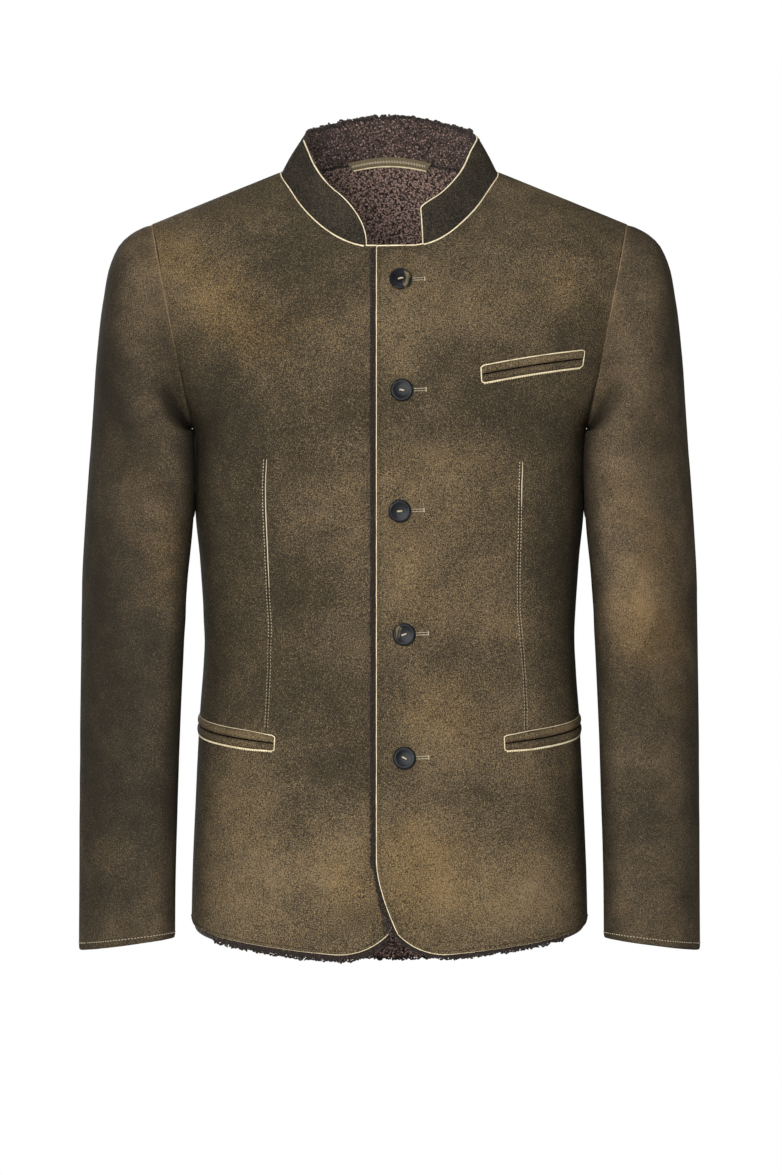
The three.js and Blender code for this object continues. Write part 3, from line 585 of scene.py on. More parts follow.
def add_shell(shape, outer, inner, tone=0.0, warmth=0.0, materials=(0, 0), closed_round=False):
    points, (face, back, rims) = shell_faces(outer, inner, closed_round)
    half = len(points) // 2
    tone = np.broadcast_to(tone, outer.shape[:2]).ravel()
    warmth = np.broadcast_to(warmth, outer.shape[:2]).ravel()
    shape.add(points, [face, rims], np.tile(tone, 2), np.tile(warmth, 2), materials[0])
    shape.faces.extend((back + shape.count - 2 * half).tolist())
    shape.material_of.extend([materials[1]] * len(back))


def tube(path, radius, upward, sides=8, closed=False, flatness=1.0):
    """Points and faces of a cord along a path. upward is the surface's normal there, and flatness scales across it."""
    path = np.asarray(path, float)
    if closed:
        tangent = unit(np.roll(path, -1, axis=0) - np.roll(path, 1, axis=0))
    else:
        tangent = unit(np.gradient(path, axis=0))
    across = unit(np.cross(tangent, upward))
    up = np.cross(across, tangent)
    radius = np.broadcast_to(radius, len(path))[:, None, None]
    turns = round_turns(sides)
    ring = across[:, None, :] * np.cos(turns)[:, None] + up[:, None, :] * (flatness * np.sin(turns))[:, None]
    points = path[:, None, :] + ring * radius
    index = np.arange(len(path) * sides).reshape(len(path), sides)
    below = np.roll(index, -1, axis=1)
    if closed:
        next_index, next_below = np.roll(index, -1, axis=0), np.roll(below, -1, axis=0)
        quads = np.stack([index, next_index, next_below, below], axis=-1).reshape(-1, 4)
        return points.reshape(-1, 3), [quads]
    quads = np.stack([index[:-1], index[1:], below[1:], below[:-1]], axis=-1).reshape(-1, 4)
    return points.reshape(-1, 3), [quads, index[:1, :], index[-1:, ::-1]]


def capped(points, rings, sides):
    """A body of rings between two end points: its points, then its quads and end triangles."""
    index = 1 + np.arange(rings * sides).reshape(rings, sides)
    beside = np.roll(index, -1, axis=1)
    quads = np.stack([index[:-1], index[1:], beside[1:], beside[:-1]], axis=-1).reshape(-1, 4)
    first = np.stack([np.zeros(sides, int), index[0], beside[0]], axis=1)
    last = np.stack([np.full(sides, len(points) - 1), beside[-1], index[-1]], axis=1)
    return np.array(points), quads, np.concatenate([first, last])


def bead(sides, rings, length, radius, arch=0.0):
    """A small rounded body along x."""
    places = np.linspace(-0.5, 0.5, rings + 2)[1:-1] * 0.86
    sizes = np.sqrt(1 - (places / 0.56) ** 2)
    turns = round_turns(sides)
    points = [(-length / 2, 0, 0)]
    for place, size in zip(places, sizes):
        rise = arch * (1 - (2 * place) ** 2)
        points += [(place * length, radius * size * math.cos(t), rise + radius * size * math.sin(t)) for t in turns]
    points.append((length / 2, 0, 0))
    return capped(points, rings, sides)


def curl(radius, thickness, sides=4, rings=4):
    """A lock of wool: a short tapering hook that rises along z and turns over."""
    turns = np.linspace(-0.35 * math.pi, 1.2 * math.pi, rings + 2)
    line = np.stack([
        radius * np.cos(turns), np.linspace(-0.4, 0.4, rings + 2) * radius, radius * (0.8 + np.sin(turns)),
    ], axis=1)
    tangent = unit(np.gradient(line, axis=0))
    side = unit(np.cross(tangent, [0.0, 1.0, 0.0]))
    other = np.cross(tangent, side)
    angles = round_turns(sides)
    points = [line[0]]
    for i in range(1, rings + 1):
        points += [line[i] + thickness * (side[i] * math.cos(a) + other[i] * math.sin(a)) for a in angles]
    points.append(line[-1])
    return capped(points, rings, sides)


def add_copies(shape, template, centres, forward, upward, scale=1.0, tone=0.0, warmth=0.0, root=0.0):
    """Copies of a small body, with its x along forward and its z along upward, and painted shade by root: darker at its
    foot, lighter at its top.
    """
    points, quads, triangles = template
    side = unit(np.cross(upward, forward))
    up = unit(upward)
    ahead = np.cross(side, up)
    frames = np.stack([ahead, side, up], axis=1)
    scale = np.broadcast_to(scale, len(centres))
    placed = np.einsum("mk,nkj->nmj", points, frames) * scale[:, None, None] + centres[:, None, :]
    offsets = (np.arange(len(centres)) * len(points))[:, None, None]
    faces = [(quads[None] + offsets).reshape(-1, 4), (triangles[None] + offsets).reshape(-1, 3)]
    # Painted shade and light: each copy darker at its foot and lighter at its top.
    rise = points[:, 2] - points[:, 2].mean()
    tone = np.broadcast_to(tone, len(centres))[:, None] + root * rise[None] / np.ptp(rise)
    warmth = np.repeat(np.broadcast_to(warmth, len(centres)), len(points))
    shape.add(placed.reshape(-1, 3), faces, tone.ravel(), warmth)


def sewn(shape, path, normals, sizes, start=0.0, end=None, rise=0.15, tone=0.0, closeness=1.0):
    """A row of stitches along a path."""
    length = run_along(path)[-1]
    pitch, stitch = sizes.stitch_pitch / MM / closeness, sizes.stitch_length / MM / closeness
    places = np.arange(start + pitch / 2, (length if end is None else end) - pitch / 2, pitch)
    centres, ups = resampled(path, places, normals)
    ahead = resampled(path, places + 0.5)[0] - resampled(path, places - 0.5)[0]
    template = bead(5, 3, stitch, sizes.thread_width / MM / 2, 0.1)
    add_copies(shape, template, centres + unit(ups) * rise, unit(ahead), unit(ups), tone=tone)


# ---- finishes ----

def paint(red, green, blue):
    """A linear colour from screen values of 0 to 255."""
    return tuple(((c / 255 + 0.055) / 1.055) ** 2.4 if c > 10 else c / 255 / 12.92 for c in (red, green, blue))


class Wire:
    """A value in a finish's node tree. Arithmetic on it adds Math nodes."""

    def __init__(self, finish, socket):
        self.finish, self.socket = finish, socket

    def math(self, operation, *values):
        return self.finish.add("ShaderNodeMath", {"operation": operation}, dict(enumerate(values)))

    def __add__(self, other):
        return self.math("ADD", self, other)

    def __sub__(self, other):
        return self.math("SUBTRACT", self, other)

    def __rsub__(self, other):
        return self.math("SUBTRACT", other, self)

    def __mul__(self, other):
        return self.math("MULTIPLY", self, other)

    __radd__, __rmul__ = __add__, __mul__

    def between(self, low, high):
        """0 below low, 1 above high and smooth between them."""
        values = {"Value": self, "From Min": low, "From Max": high}
        return self.finish.add("ShaderNodeMapRange", {"interpolation_type": "SMOOTHSTEP", "clamp": True}, values)


class Finish:
    """A material being built from nodes."""

    def __init__(self, name):
        self.material = bpy.data.materials.new(f"jacket_{name}")
        self.material.use_nodes = True
        self.tree = self.material.node_tree
        self.tree.nodes.clear()
        self.place = self.add("ShaderNodeTexCoord", out="Object")

    def add(self, kind, settings=None, values=None, out=0):
        """Adds a node: its settings first, then the values or links of its sockets."""
        node = self.tree.nodes.new(kind)
        for key, value in (settings or {}).items():
            if key == "stops":
                while len(node.color_ramp.elements) < len(value):
                    node.color_ramp.elements.new(0.5)
                for element, (position, colour) in zip(node.color_ramp.elements, value):
                    element.position, element.color = position, (*colour, 1)
            else:
                setattr(node, key, value)
        for key, value in (values or {}).items():
            if isinstance(value, Wire):
                self.tree.links.new(value.socket, node.inputs[key])
            else:
                node.inputs[key].default_value = value
        return Wire(self, node.outputs[out])

    def attribute(self, name):
        return self.add("ShaderNodeAttribute", {"attribute_name": name}, out="Fac")

    def noise(self, scale, detail=3.0, roughness=0.5, place=None, distortion=0.0):
        values = {
            "Vector": place or self.place, "Scale": scale, "Detail": detail, "Roughness": roughness,
            "Distortion": distortion,
        }
        return self.add("ShaderNodeTexNoise", {"noise_dimensions": "3D"}, values)

    def stretched(self, x, y, z):
        return self.add("ShaderNodeVectorMath", {"operation": "MULTIPLY"}, {0: self.place, 1: (x, y, z)})

    def ramp(self, value, stops):
        return self.add("ShaderNodeValToRGB", {"stops": stops}, {"Fac": value}, out="Color")

    def mix(self, share, first, second, way="MIX"):
        values = {0: share, 6: first, 7: second}
        return self.add("ShaderNodeMix", {"data_type": "RGBA", "blend_type": way}, values, out=2)

    def bump(self, height, strength, distance):
        return self.add("ShaderNodeBump", None, {"Height": height, "Strength": strength, "Distance": distance})

    def done(self, **values):
        """Ends the finish with its shader and returns the material."""
        named = {key.replace("_", " "): value for key, value in values.items()}
        shader = self.add("ShaderNodeBsdfPrincipled", None, named)
        output = self.tree.nodes.new("ShaderNodeOutputMaterial")
        self.tree.links.new(shader.socket, output.inputs["Surface"])
        return self.material


def shaded(colour, factor, warm=1.0):
    """A colour made lighter or darker, and warmer above 1."""
    red, green, blue = colour[:3]
    return (min(1, red * factor * warm), min(1, green * factor), min(1, blue * factor / warm))


def suede_finish(name, colour, contrast=1.0, grain=1.0):
    """Napped sheepskin: clouds, and patches of mottling and of painted light and shade from its tone, a salt-and-pepper
    nap and a soft sheen.
    """
    finish = Finish(name)
    cloud = finish.noise(11, 3, 0.55, distortion=0.4)
    blotch = finish.noise(42, 2, 0.5)
    nap = finish.noise(900, 2, 0.7)
    fleck = finish.noise(1500, 1, 0.5)
    tone = finish.attribute("tone")
    value = 0.5 + tone * (0.55 * contrast) + (cloud - 0.5) * (0.6 * contrast) + (blotch - 0.5) * (0.45 * contrast)
    value = value + (nap - 0.5) * (2.5 * grain) + (fleck - 0.5) * (2.6 * grain)
    base = finish.ramp(value, [
        (0.0, shaded(colour, 0.3, 0.9)), (0.28, shaded(colour, 0.56, 0.94)), (0.5, shaded(colour, 0.95)),
        (0.72, shaded(colour, 1.5, 1.04)), (1.0, shaded(colour, 2.6, 1.04)),
    ])
    hue = finish.noise(17, 2, 0.5)
    warmth = finish.attribute("warmth") + (hue - 0.5) * 1.1
    warm = finish.mix(1.0, base, (1.06, 0.99, 0.84, 1), "MULTIPLY")
    cool = finish.mix(1.0, base, (0.96, 0.99, 1.0, 1), "MULTIPLY")
    toned = finish.mix(warmth.between(0.0, 0.7), base, warm)
    toned = finish.mix((0 - warmth).between(0.05, 0.5), toned, cool)
    height = nap * 0.6 + fleck * 0.4 + blotch * 0.5
    return finish.done(
        Base_Color=toned,
        Roughness=0.86 + (nap - 0.5) * 0.2,
        Normal=finish.bump(height, 0.55, 0.0012),
        Specular_IOR_Level=0.12,
    )


def wool_finish(name, colour, locks=True):
    """Curly shearling: each lock has its tone, with painted shade at its foot, and the ground carries painted shade
    between its bumps.
    """
    finish = Finish(name)
    tone = finish.attribute("tone")
    fibre = finish.noise(1500, 2, 0.6)
    drift = finish.noise(60, 2)
    if locks:
        value = tone * 0.9 + (fibre - 0.5) * 0.5 + (drift - 0.5) * 0.3
        height = fibre
        depth = 0.0004
    else:
        cells = finish.add("ShaderNodeTexVoronoi", {"feature": "SMOOTH_F1"}, {
            "Vector": finish.place, "Scale": 330, "Smoothness": 0.6, "Randomness": 1.0,
        })
        # Painted shade: the ground is darker away from the middle of each bump, between the curls.
        value = 0.75 + tone - cells * 1.1 + (fibre - 0.5) * 0.3 + (drift - 0.5) * 0.25
        height = 0 - cells
        depth = 0.0022
    base = finish.ramp(value, [
        (0.0, shaded(colour, 0.22)), (0.35, shaded(colour, 0.6)), (0.65, shaded(colour, 1.25)),
        (1.0, shaded(colour, 3.8)),
    ])
    return finish.done(
        Base_Color=base, Roughness=0.9, Normal=finish.bump(height, 0.7, depth), Sheen_Weight=0.15,
        Sheen_Roughness=0.5, Specular_IOR_Level=0.2,
    )


def raw_edge_finish(name, colour):
    """The undyed middle of the skin, where it is cut."""
    finish = Finish(name)
    crumb = finish.noise(900, 3, 0.6)
    patch = finish.noise(90, 3, 0.6)
    base = finish.ramp(0.52 + (crumb - 0.5) * 1.1 + (patch - 0.5) * 1.1 + finish.attribute("tone"), [
        (0.0, shaded(colour, 0.32, 1.15)), (0.3, shaded(colour, 0.72, 1.08)), (0.6, shaded(colour, 1.0)),
        (1.0, shaded(colour, 1.15)),
    ])
    return finish.done(
        Base_Color=base, Roughness=0.9, Normal=finish.bump(crumb, 0.6, 0.0005), Specular_IOR_Level=0.2,
    )


def thread_finish(name, colour):
    """Twisted thread."""
    finish = Finish(name)
    twist = finish.add("ShaderNodeTexWave", {"bands_direction": "DIAGONAL"}, {
        "Vector": finish.place, "Scale": 420, "Distortion": 0.6,
    })
    soil = finish.noise(130, 2)
    dulled = twist * 0.5 + soil * 0.3 - finish.attribute("tone")
    base = finish.mix(dulled, (*shaded(colour, 1.1), 1), (*shaded(colour, 0.42, 1.05), 1))
    return finish.done(
        Base_Color=base, Roughness=0.7, Normal=finish.bump(twist, 0.5, 0.0002), Specular_IOR_Level=0.3,
    )


def tape_finish(name, colour):
    """A narrow woven herringbone tape."""
    finish = Finish(name)
    ribs = finish.add("ShaderNodeTexWave", {"bands_direction": "X"}, {
        "Vector": finish.place, "Scale": 260, "Distortion": 1.4, "Detail": 1.0,
    })
    cross = finish.add("ShaderNodeTexWave", {"bands_direction": "Z"}, {"Vector": finish.place, "Scale": 300})
    soil = finish.noise(240, 3)
    weave = ribs * 0.5 + cross * 0.3
    base = finish.mix(weave + (soil - 0.5) * 0.6, (*shaded(colour, 0.6), 1), (*shaded(colour, 1.25, 1.02), 1))
    return finish.done(
        Base_Color=base, Roughness=0.88, Normal=finish.bump(weave, 0.6, 0.0004), Sheen_Weight=0.1,
        Specular_IOR_Level=0.2,
    )


def horn_finish(name, colour):
    """Polished dark horn with cloudy streaks and a few pale ones."""
    finish = Finish(name)
    place = finish.stretched(1.0, 1.0, 0.45)
    streak = finish.noise(150, 4, 0.6, place=place, distortion=1.2)
    pale = finish.noise(95, 2, 0.5, place=place, distortion=0.8)
    base = finish.ramp(streak, [
        (0.3, shaded(colour, 0.45, 0.95)), (0.5, shaded(colour, 1.0, 0.97)), (0.72, shaded(colour, 2.6, 1.0)),
    ])
    marked = finish.mix(pale.between(0.63, 0.74), base, (*paint(112, 100, 74), 1))
    return finish.done(
        Base_Color=marked, Roughness=0.3 + streak * 0.14, Normal=finish.bump(streak, 0.08, 0.0004),
        Specular_IOR_Level=0.16, Coat_Weight=0.03, Coat_Roughness=0.15,
    )


def slit_finish(name, colour):
    """The shaded inside of a slit between welts."""
    finish = Finish(name)
    fibre = finish.noise(700, 3)
    base = finish.mix(fibre, (*shaded(colour, 0.5), 1), (*shaded(colour, 1.4), 1))
    return finish.done(Base_Color=base, Roughness=0.95, Specular_IOR_Level=0.05)


def floor_finish(name, colour):
    finish = Finish(name)
    dust = finish.noise(6, 4)
    base = finish.mix(dust * 0.5, (*shaded(colour, 1.0), 1), (*shaded(colour, 0.95), 1))
    return finish.done(Base_Color=base, Roughness=0.85)


MAKERS = {
    "suede_body": lambda c: suede_finish("suede_body", c.suede),
    "suede_sleeve": lambda c: suede_finish("suede_sleeve", c.sleeve_suede, 1.0, 0.66),
    "suede_collar": lambda c: suede_finish("suede_collar", c.collar_suede, 0.7, 0.9),
    "wool_locks": lambda c: wool_finish("wool_locks", c.shearling),
    "wool_ground": lambda c: wool_finish("wool_ground", c.shearling, locks=False),
    "raw_edge": lambda c: raw_edge_finish("raw_edge", c.cut_edge),
    "thread": lambda c: thread_finish("thread", c.thread),
    "dark_thread": lambda c: thread_finish("dark_thread", c.dark_thread),
    "tape": lambda c: tape_finish("tape", c.tape),
    "horn": lambda c: horn_finish("horn", c.horn),
    "slit": lambda c: slit_finish("slit", c.slit),
    "floor": lambda c: floor_finish("floor", c.floor),
}


def finish_of(name):
    """The named finish, made when it is first asked for."""
    return bpy.data.materials.get(f"jacket_{name}") or MAKERS[name](bpy.context.scene.jacket_colours)


# ---- panels ----

FRONT_HEIGHTS = spaced(
    (5.6, -43, 1.8), (-43, -56, 1.4), (-56, -64, 0.8), (-64, -65.4, 0.35), (-65.4, -66, 0.15), (-66, -78, 2),
    (-78, -230, 5), (-230, -641, 6.5), (-641, -689, 3),
)
BACK_HEIGHTS = np.concatenate([spaced((17.95, 7, 0.9)), spaced(
    (5.6, -43, 1.8), (-43, -66, 2.3), (-66, -230, 5.5), (-230, -641, 7), (-641, -689, 3.4),
)])


class Panel:
    """Angles and heights of a body panel, rows downwards, columns from the front edge or from the left side."""

    def __init__(self, face, side=1, heights=None, columns=60, past_edge=0.0):
        self.face, self.side = face, side
        self.lift = LAP_RISE * side if face == "front" else 0.0
        if heights is None:
            heights = FRONT_HEIGHTS if face == "front" else BACK_HEIGHTS
        self.heights = heights
        shoulder = np.arctan2(armhole_half_depth(heights), armhole_x(heights)) + SEAM / 2 / ARMPIT[0]
        if face == "front":
            start, end = self.edge_angles(heights, past_edge), shoulder
        else:
            start = np.where(heights > SHOULDER_NECK[1], back_neck_angle(heights), shoulder)
            end = math.pi - start
        self.angle = equal_angles(face, heights, start, end, columns, self.lift)
        rows = heights[:, None]
        bottom = hem_z(face, self.angle)
        if face == "front":
            x = body_point(face, self.angle, rows, self.lift)[..., 0]
            inside = np.clip(CORNER_RADIUS - BEYOND[side] - x, 0, CORNER_RADIUS)
            bottom = bottom + CORNER_RADIUS - np.sqrt(CORNER_RADIUS ** 2 - inside ** 2)
        self.z = bend_to_hem(np.broadcast_to(rows, self.angle.shape), bottom)

    def edge_angles(self, heights, past_edge):
        """The neckline, the level top edge and the free front edge with its rounded corner."""
        beyond = BEYOND[self.side] + past_edge
        neck = front_neck_angle(heights)
        inner_x = body_point("front", front_neck_angle(TOP_EDGE_INNER), TOP_EDGE_INNER, self.lift)[0]
        share = (TOP_EDGE_INNER - heights) / (TOP_EDGE_INNER - TOP_EDGE_OUTER)
        top_x = inner_x + (-beyond - inner_x) * np.clip(share, 0, 1)
        below = np.clip(CORNER_LEVEL - heights, 0, CORNER_RADIUS)
        edge_x = CORNER_RADIUS - beyond - np.sqrt(CORNER_RADIUS ** 2 - below ** 2)
        x = np.where(heights > TOP_EDGE_OUTER, top_x, edge_x)
        return np.where(heights > TOP_EDGE_INNER, neck, angle_at_x(heights, x, self.lift))

    def surface(self, extra_drop=None):
        """Points and normals, mirrored to the panel's side."""
        z = self.z if extra_drop is None else self.z + extra_drop
        points = body_point(self.face, self.angle, z, self.lift)
        normals = body_normal(self.face, self.angle, z, self.lift)
        return mirrored(self.side, points, normals)

    def seam_distance(self, points):
        """Distance from the armhole, side and shoulder seams."""
        run = run_along(points, axis=1)
        from_end = run[:, -1:] - run
        if self.face == "front":
            return from_end
        return np.where(self.heights[:, None] > SHOULDER_NECK[1], 99.0, np.minimum(run, from_end))

    def suede(self):
        """The worn outer and inner sides of the suede, with tone and warmth."""
        points, normals = self.surface()
        move = crease_move(points, normals) + seam_move(self.seam_distance(points))
        outer = points + normals * move[..., None]
        tone, warmth = wear_and_painted_light(points, normals)
        # The suede is lighter within a few millimetres of the seams.
        near_seams = np.exp(-(self.seam_distance(points) / 4) ** 2)
        return outer, outer - normals * SKIN, normals, tone + 0.25 * near_seams, warmth


def lining_depth(panel, points):
    """How deep the wool's ground lies: shallower where locks of wool stand on it."""
    x = np.abs(points[..., 0])
    lapped = (1 - smoothstep(LAP_FULL, LAP_END, x)) if panel.lift > 0 else 0.0
    near_neck = smoothstep(-140, -110, points[..., 2]) * (1 - smoothstep(130, 165, x))
    near_hem = 1 - smoothstep(20, 34, points[..., 2] - (HEM_SIDE - 20))
    locks = np.maximum(near_neck, near_hem)
    return SKIN + PILE_GAP + PILE - LAP_PILE_LOSS * lapped - 2.2 * locks


def fronts():
    return {side: Panel("front", side) for side in (1, -1)}


SIDE_NAME = {1: "left", -1: "right"}


def edge_path(panel, level, outside=False):
    """The panel's free edge, outside the skin or in its middle: down its front from a level, then along the hem."""
    outer, inner, normals, _, _ = panel.suede()
    surface = outer if outside else (outer + inner) / 2
    first = int(np.argmin(np.abs(panel.heights - level)))
    path = np.concatenate([surface[first:, 0], surface[-1, 1:]])
    return path, np.concatenate([normals[first:, 0], normals[-1, 1:]])


def inset(path, normals, distance):
    """A path moved to one side within its surface."""
    tangent = unit(np.gradient(path, axis=0))
    return path + unit(np.cross(normals, tangent)) * distance


def rough_radius(count, radius, seed, amount=0.16):
    """A cord's radius that varies along it."""
    draw = np.random.default_rng(seed)
    wave = np.convolve(draw.normal(0, 1, count + 8), np.ones(5) / 5, "same")[4:-4]
    return radius * (1 + amount * np.clip(wave, -2, 2))


def fine_path(path, ups, step):
    places = np.arange(0, run_along(path)[-1], step)
    return resampled(path, places, ups)


def add_cut_edge(shape, path, ups, radius, seed, step=2.2, flatness=1.0, tone=0.0):
    """A pale bead of cut skin along a path, a little uneven."""
    points, normals = fine_path(path, ups, step)
    shares = np.broadcast_to(radius, len(path)) if np.ndim(radius) else np.full(len(path), radius)
    run = run_along(path)
    sizes = np.interp(np.arange(len(points)) * step, run, shares) * rough_radius(len(points), 1.0, seed)
    shape.add(*tube(points, sizes, unit(normals), 8, flatness=flatness), tone=tone)


# ---- sleeves ----

def sleeve_sections():
    """Sections of the wearer's left sleeve, from the armhole to the cuff."""
    tilt = math.radians(HEAD_ROWS[0][0])
    near = HEAD_ROWS[0][1]
    pivot = np.array([ARMPIT[0] - near * math.sin(tilt), 0, ARMPIT[1] - near * math.cos(tilt)])
    rows = []
    for i, (turn, low, high, depth, y, yaw, power) in enumerate(HEAD_ROWS):
        outward = np.array([math.sin(math.radians(turn)), 0, math.cos(math.radians(turn))])
        centre = pivot + outward * (low + high) / 2
        centre[1] = y
        if i == 0:
            centre += np.array([math.cos(tilt), 0, -math.sin(tilt)]) * (SEAM + 0.05)
        rows.append([*centre, *outward, (high - low) / 2, depth, yaw, power])
    for i, (z, x, width, depth, y) in enumerate(ARM_ROWS):
        drop = -CUFF_TILT / width if i == len(ARM_ROWS) - 1 else 0
        rows.append([x, y, z, 1, 0, drop, width, depth, ARM_YAW, 2])
    rows = np.array(rows, float)
    keys = run_along(rows[:, :3])
    return keys, rows


def sleeve_rings(side, sides=72):
    """Points and outward normals of a sleeve's rings."""
    keys, rows = sleeve_sections()
    end = keys[-1]
    near_head, near_cuff = [0, 1, 2.2, 3.6, 5.4, 8], [end - 5, end - 2.2, end - 1, end]
    at = np.concatenate([near_head, spaced((11, 60, 4), (60, end - 8, 6.2)), near_cuff])
    values = smooth_through(keys, rows, at)
    centre, outward = values[:, :3], values[:, 3:6]
    width, depth, yaw, power = (values[:, k] for k in (6, 7, 8, 9))
    yaw = np.radians(yaw)
    wide = np.sqrt(width ** 2 - (depth * np.sin(yaw)) ** 2) / np.cos(yaw)
    angle = round_turns(sides)
    c, s = np.cos(angle)[None], np.sin(angle)[None]
    p = power[:, None]
    scale = (np.abs(c) ** p + np.abs(s) ** p) ** (-1 / p)
    u, v = wide[:, None] * c * scale, depth[:, None] * s * scale
    forward = (u * np.cos(yaw)[:, None] + v * np.sin(yaw)[:, None])[..., None]
    points = centre[:, None] + outward[:, None] * forward
    points[..., 1] += v * np.cos(yaw)[:, None] - u * np.sin(yaw)[:, None]
    round_way = np.roll(points, -1, axis=1) - np.roll(points, 1, axis=1)
    down_way = np.gradient(points, at, axis=0)
    normals = unit(np.cross(round_way, down_way))
    inside_out = np.sum(normals * (points - centre[:, None]), axis=-1).mean() < 0
    normals = -normals if inside_out else normals
    return (*mirrored(side, points, normals), at)


# ---- collar ----

def collar_frame(turn):
    """Base point, inward and upward directions on the neckline; the turn starts at the wearer's left."""
    turn = np.asarray(turn, float)
    front = np.sin(turn) < 0
    side = np.where(np.cos(turn) >= 0, 1.0, -1.0)
    angle = np.arcsin(np.clip(np.abs(np.sin(turn)), 0, 1))
    base = np.where(
        front[..., None],
        np.where(
            (side > 0)[..., None],
            body_point("front", angle, neckline_z("front", angle), LAP_RISE),
            body_point("front", angle, neckline_z("front", angle), -LAP_RISE),
        ),
        body_point("back", angle, neckline_z("back", angle)),
    )
    base = base * np.stack([side, np.ones_like(side), np.ones_like(side)], axis=-1)
    inward = unit(np.stack([-np.cos(turn) * 0.9, -np.sin(turn), np.zeros_like(turn)], axis=-1))
    at_side = np.cos(turn) ** 2
    lean = np.radians(np.where(front, 8 + 22 * at_side, 12 + 18 * at_side))[..., None]
    up = inward * np.sin(lean) + np.array([0, 0, 1.0]) * np.cos(lean)
    return base, inward, up


def collar_turns():
    """Turns along the neckline from the wearer's left end to the right end, close together at the rounded ends."""
    first = -float(front_neck_angle(COLLAR_END_LEVEL[1]))
    last = math.pi + float(front_neck_angle(COLLAR_END_LEVEL[-1]))
    fine = np.linspace(first, last, 2001)
    run = run_along(collar_frame(fine)[0])
    near_left, near_right = 3.0, COLLAR_ROUNDING[-1][0]
    left = near_left * (1 - np.cos(np.linspace(0, math.pi / 2, 5)))
    right = run[-1] - near_right * (1 - np.cos(np.linspace(math.pi / 2, 0, 22)))
    middle = np.linspace(near_left, run[-1] - near_right, round((run[-1] - near_left - near_right) / COLLAR_STEP))
    places = np.concatenate([left[:-1], middle, right[1:]])
    return np.interp(places, run, fine), places, run[-1]


def collar_height(places, total, height):
    """The collar's height along the neckline, with its rounded ends."""
    result = np.full(places.shape, float(height))
    for side, distance in ((1, places), (-1, total - places)):
        length, drop = COLLAR_ROUNDING[side]
        t = np.clip(1 - distance / length, 0, 1)
        result -= min(drop, height) * (1 - np.sqrt(1 - t * t))
    return np.maximum(result, 0.6)


# ---- wool ----

def rim_lock(sizes):
    """A curl for rims and fringes."""
    return curl(sizes.curl_radius / MM, sizes.curl_thickness / MM)


def ground_lock(sizes):
    """A short fat knot of wool for the pile's face."""
    return bead(4, 2, 2.5 * sizes.curl_radius / MM, 1.45 * sizes.curl_thickness / MM, 0.3)


def spread(points, normals, spacing, draw, keep=None):
    """Random places spread evenly over a grid, with their normals."""
    a, b, c, d = points[:-1, :-1], points[:-1, 1:], points[1:, 1:], points[1:, :-1]
    area = np.linalg.norm(np.cross(c - a, d - b), axis=-1) / 2
    if keep is not None:
        area = area * keep((a + b + c + d) / 4)
    area[1::2] = area[1::2, ::-1]
    total = np.cumsum(area.ravel())
    count = int(total[-1] / spacing ** 2)
    marks = (np.arange(count) + draw.uniform(0, 1, count)) / count * total[-1]
    cell = np.clip(np.searchsorted(total, marks), 0, area.size - 1)
    row, column = np.divmod(cell, area.shape[1])
    column = np.where(row % 2 == 1, area.shape[1] - 1 - column, column)
    u, v = draw.uniform(0, 1, (2, count, 1))

    def blend(grid):
        top = grid[row, column] * (1 - u) + grid[row, column + 1] * u
        low = grid[row + 1, column] * (1 - u) + grid[row + 1, column + 1] * u
        return top * (1 - v) + low * v

    return blend(points), unit(blend(normals))


def between_rims(near, far, places, draw, least=0.0):
    """Points at distances along a line, each at a random place between it and a second line."""
    depth = draw.uniform(least, 1, len(places))[:, None]
    low, high = resampled(near, places, far)
    return low * (1 - depth) + high * depth


def within(reach, above=-math.inf, below=math.inf):
    """Tells which places lie near the centre line and between two heights."""
    def keep(middle):
        x, z = np.abs(middle[..., 0]), middle[..., 2]
        return ((z > above) & (z < below) & (x < reach)).astype(float)

    return keep


def add_locks(shape, template, centres, ups, draw, lean=0.5, low=0.75, high=1.3, tones=(0.0, 1.0), root=0.0):
    """Locks of wool at centres, each turned, leaned, sized and toned at random."""
    count = len(centres)
    forward = np.cross(ups, draw.normal(0, 1, (count, 3)))
    up = unit(ups + draw.normal(0, lean, (count, 3)))
    tone = tones[0] + (tones[1] - tones[0]) * draw.beta(1.6, 1.9, count)
    add_copies(shape, template, centres, unit(forward), up, draw.uniform(low, high, count), tone, root=root)


# ---- settings ----

def length_property(name, description, default, low, high):
    return FloatProperty(
        name=name, description=description, default=default, min=low, max=high, subtype="DISTANCE", unit="LENGTH",
    )


def power_property(name, description, default):
    return FloatProperty(name=name, description=description, default=default, min=0, unit="POWER")


class JacketSizes(bpy.types.PropertyGroup):
    """Small sizes that a maker may change."""

    edge_width: length_property("Cut edge", "Width of the pale cut edge of the skins", 0.0015, 0.0005, 0.004)
    stitch_length: length_property("Stitch", "Length of one stitch", 0.0021, 0.001, 0.006)
    stitch_pitch: length_property("Stitch spacing", "Distance from one stitch to the next", 0.003, 0.0015, 0.01)
    thread_width: length_property("Thread", "Thickness of the sewing thread", 0.0008, 0.0002, 0.002)
    curl_radius: length_property("Wool curl", "Radius of one curl of the wool", 0.0009, 0.0005, 0.004)
    curl_thickness: length_property("Lock thickness", "Radius of one lock of wool", 0.00072, 0.0002, 0.002)
    curl_spacing: length_property("Lock spacing", "Distance between locks of wool", 0.0019, 0.0012, 0.01)
    button_radius: length_property("Button radius", "Radius of the horn buttons", 0.0104, 0.005, 0.02)


def colour_property(name, description, *screen):
    return FloatVectorProperty(
        name=name, description=description, default=paint(*screen), size=3, min=0, max=1, subtype="COLOR",
    )


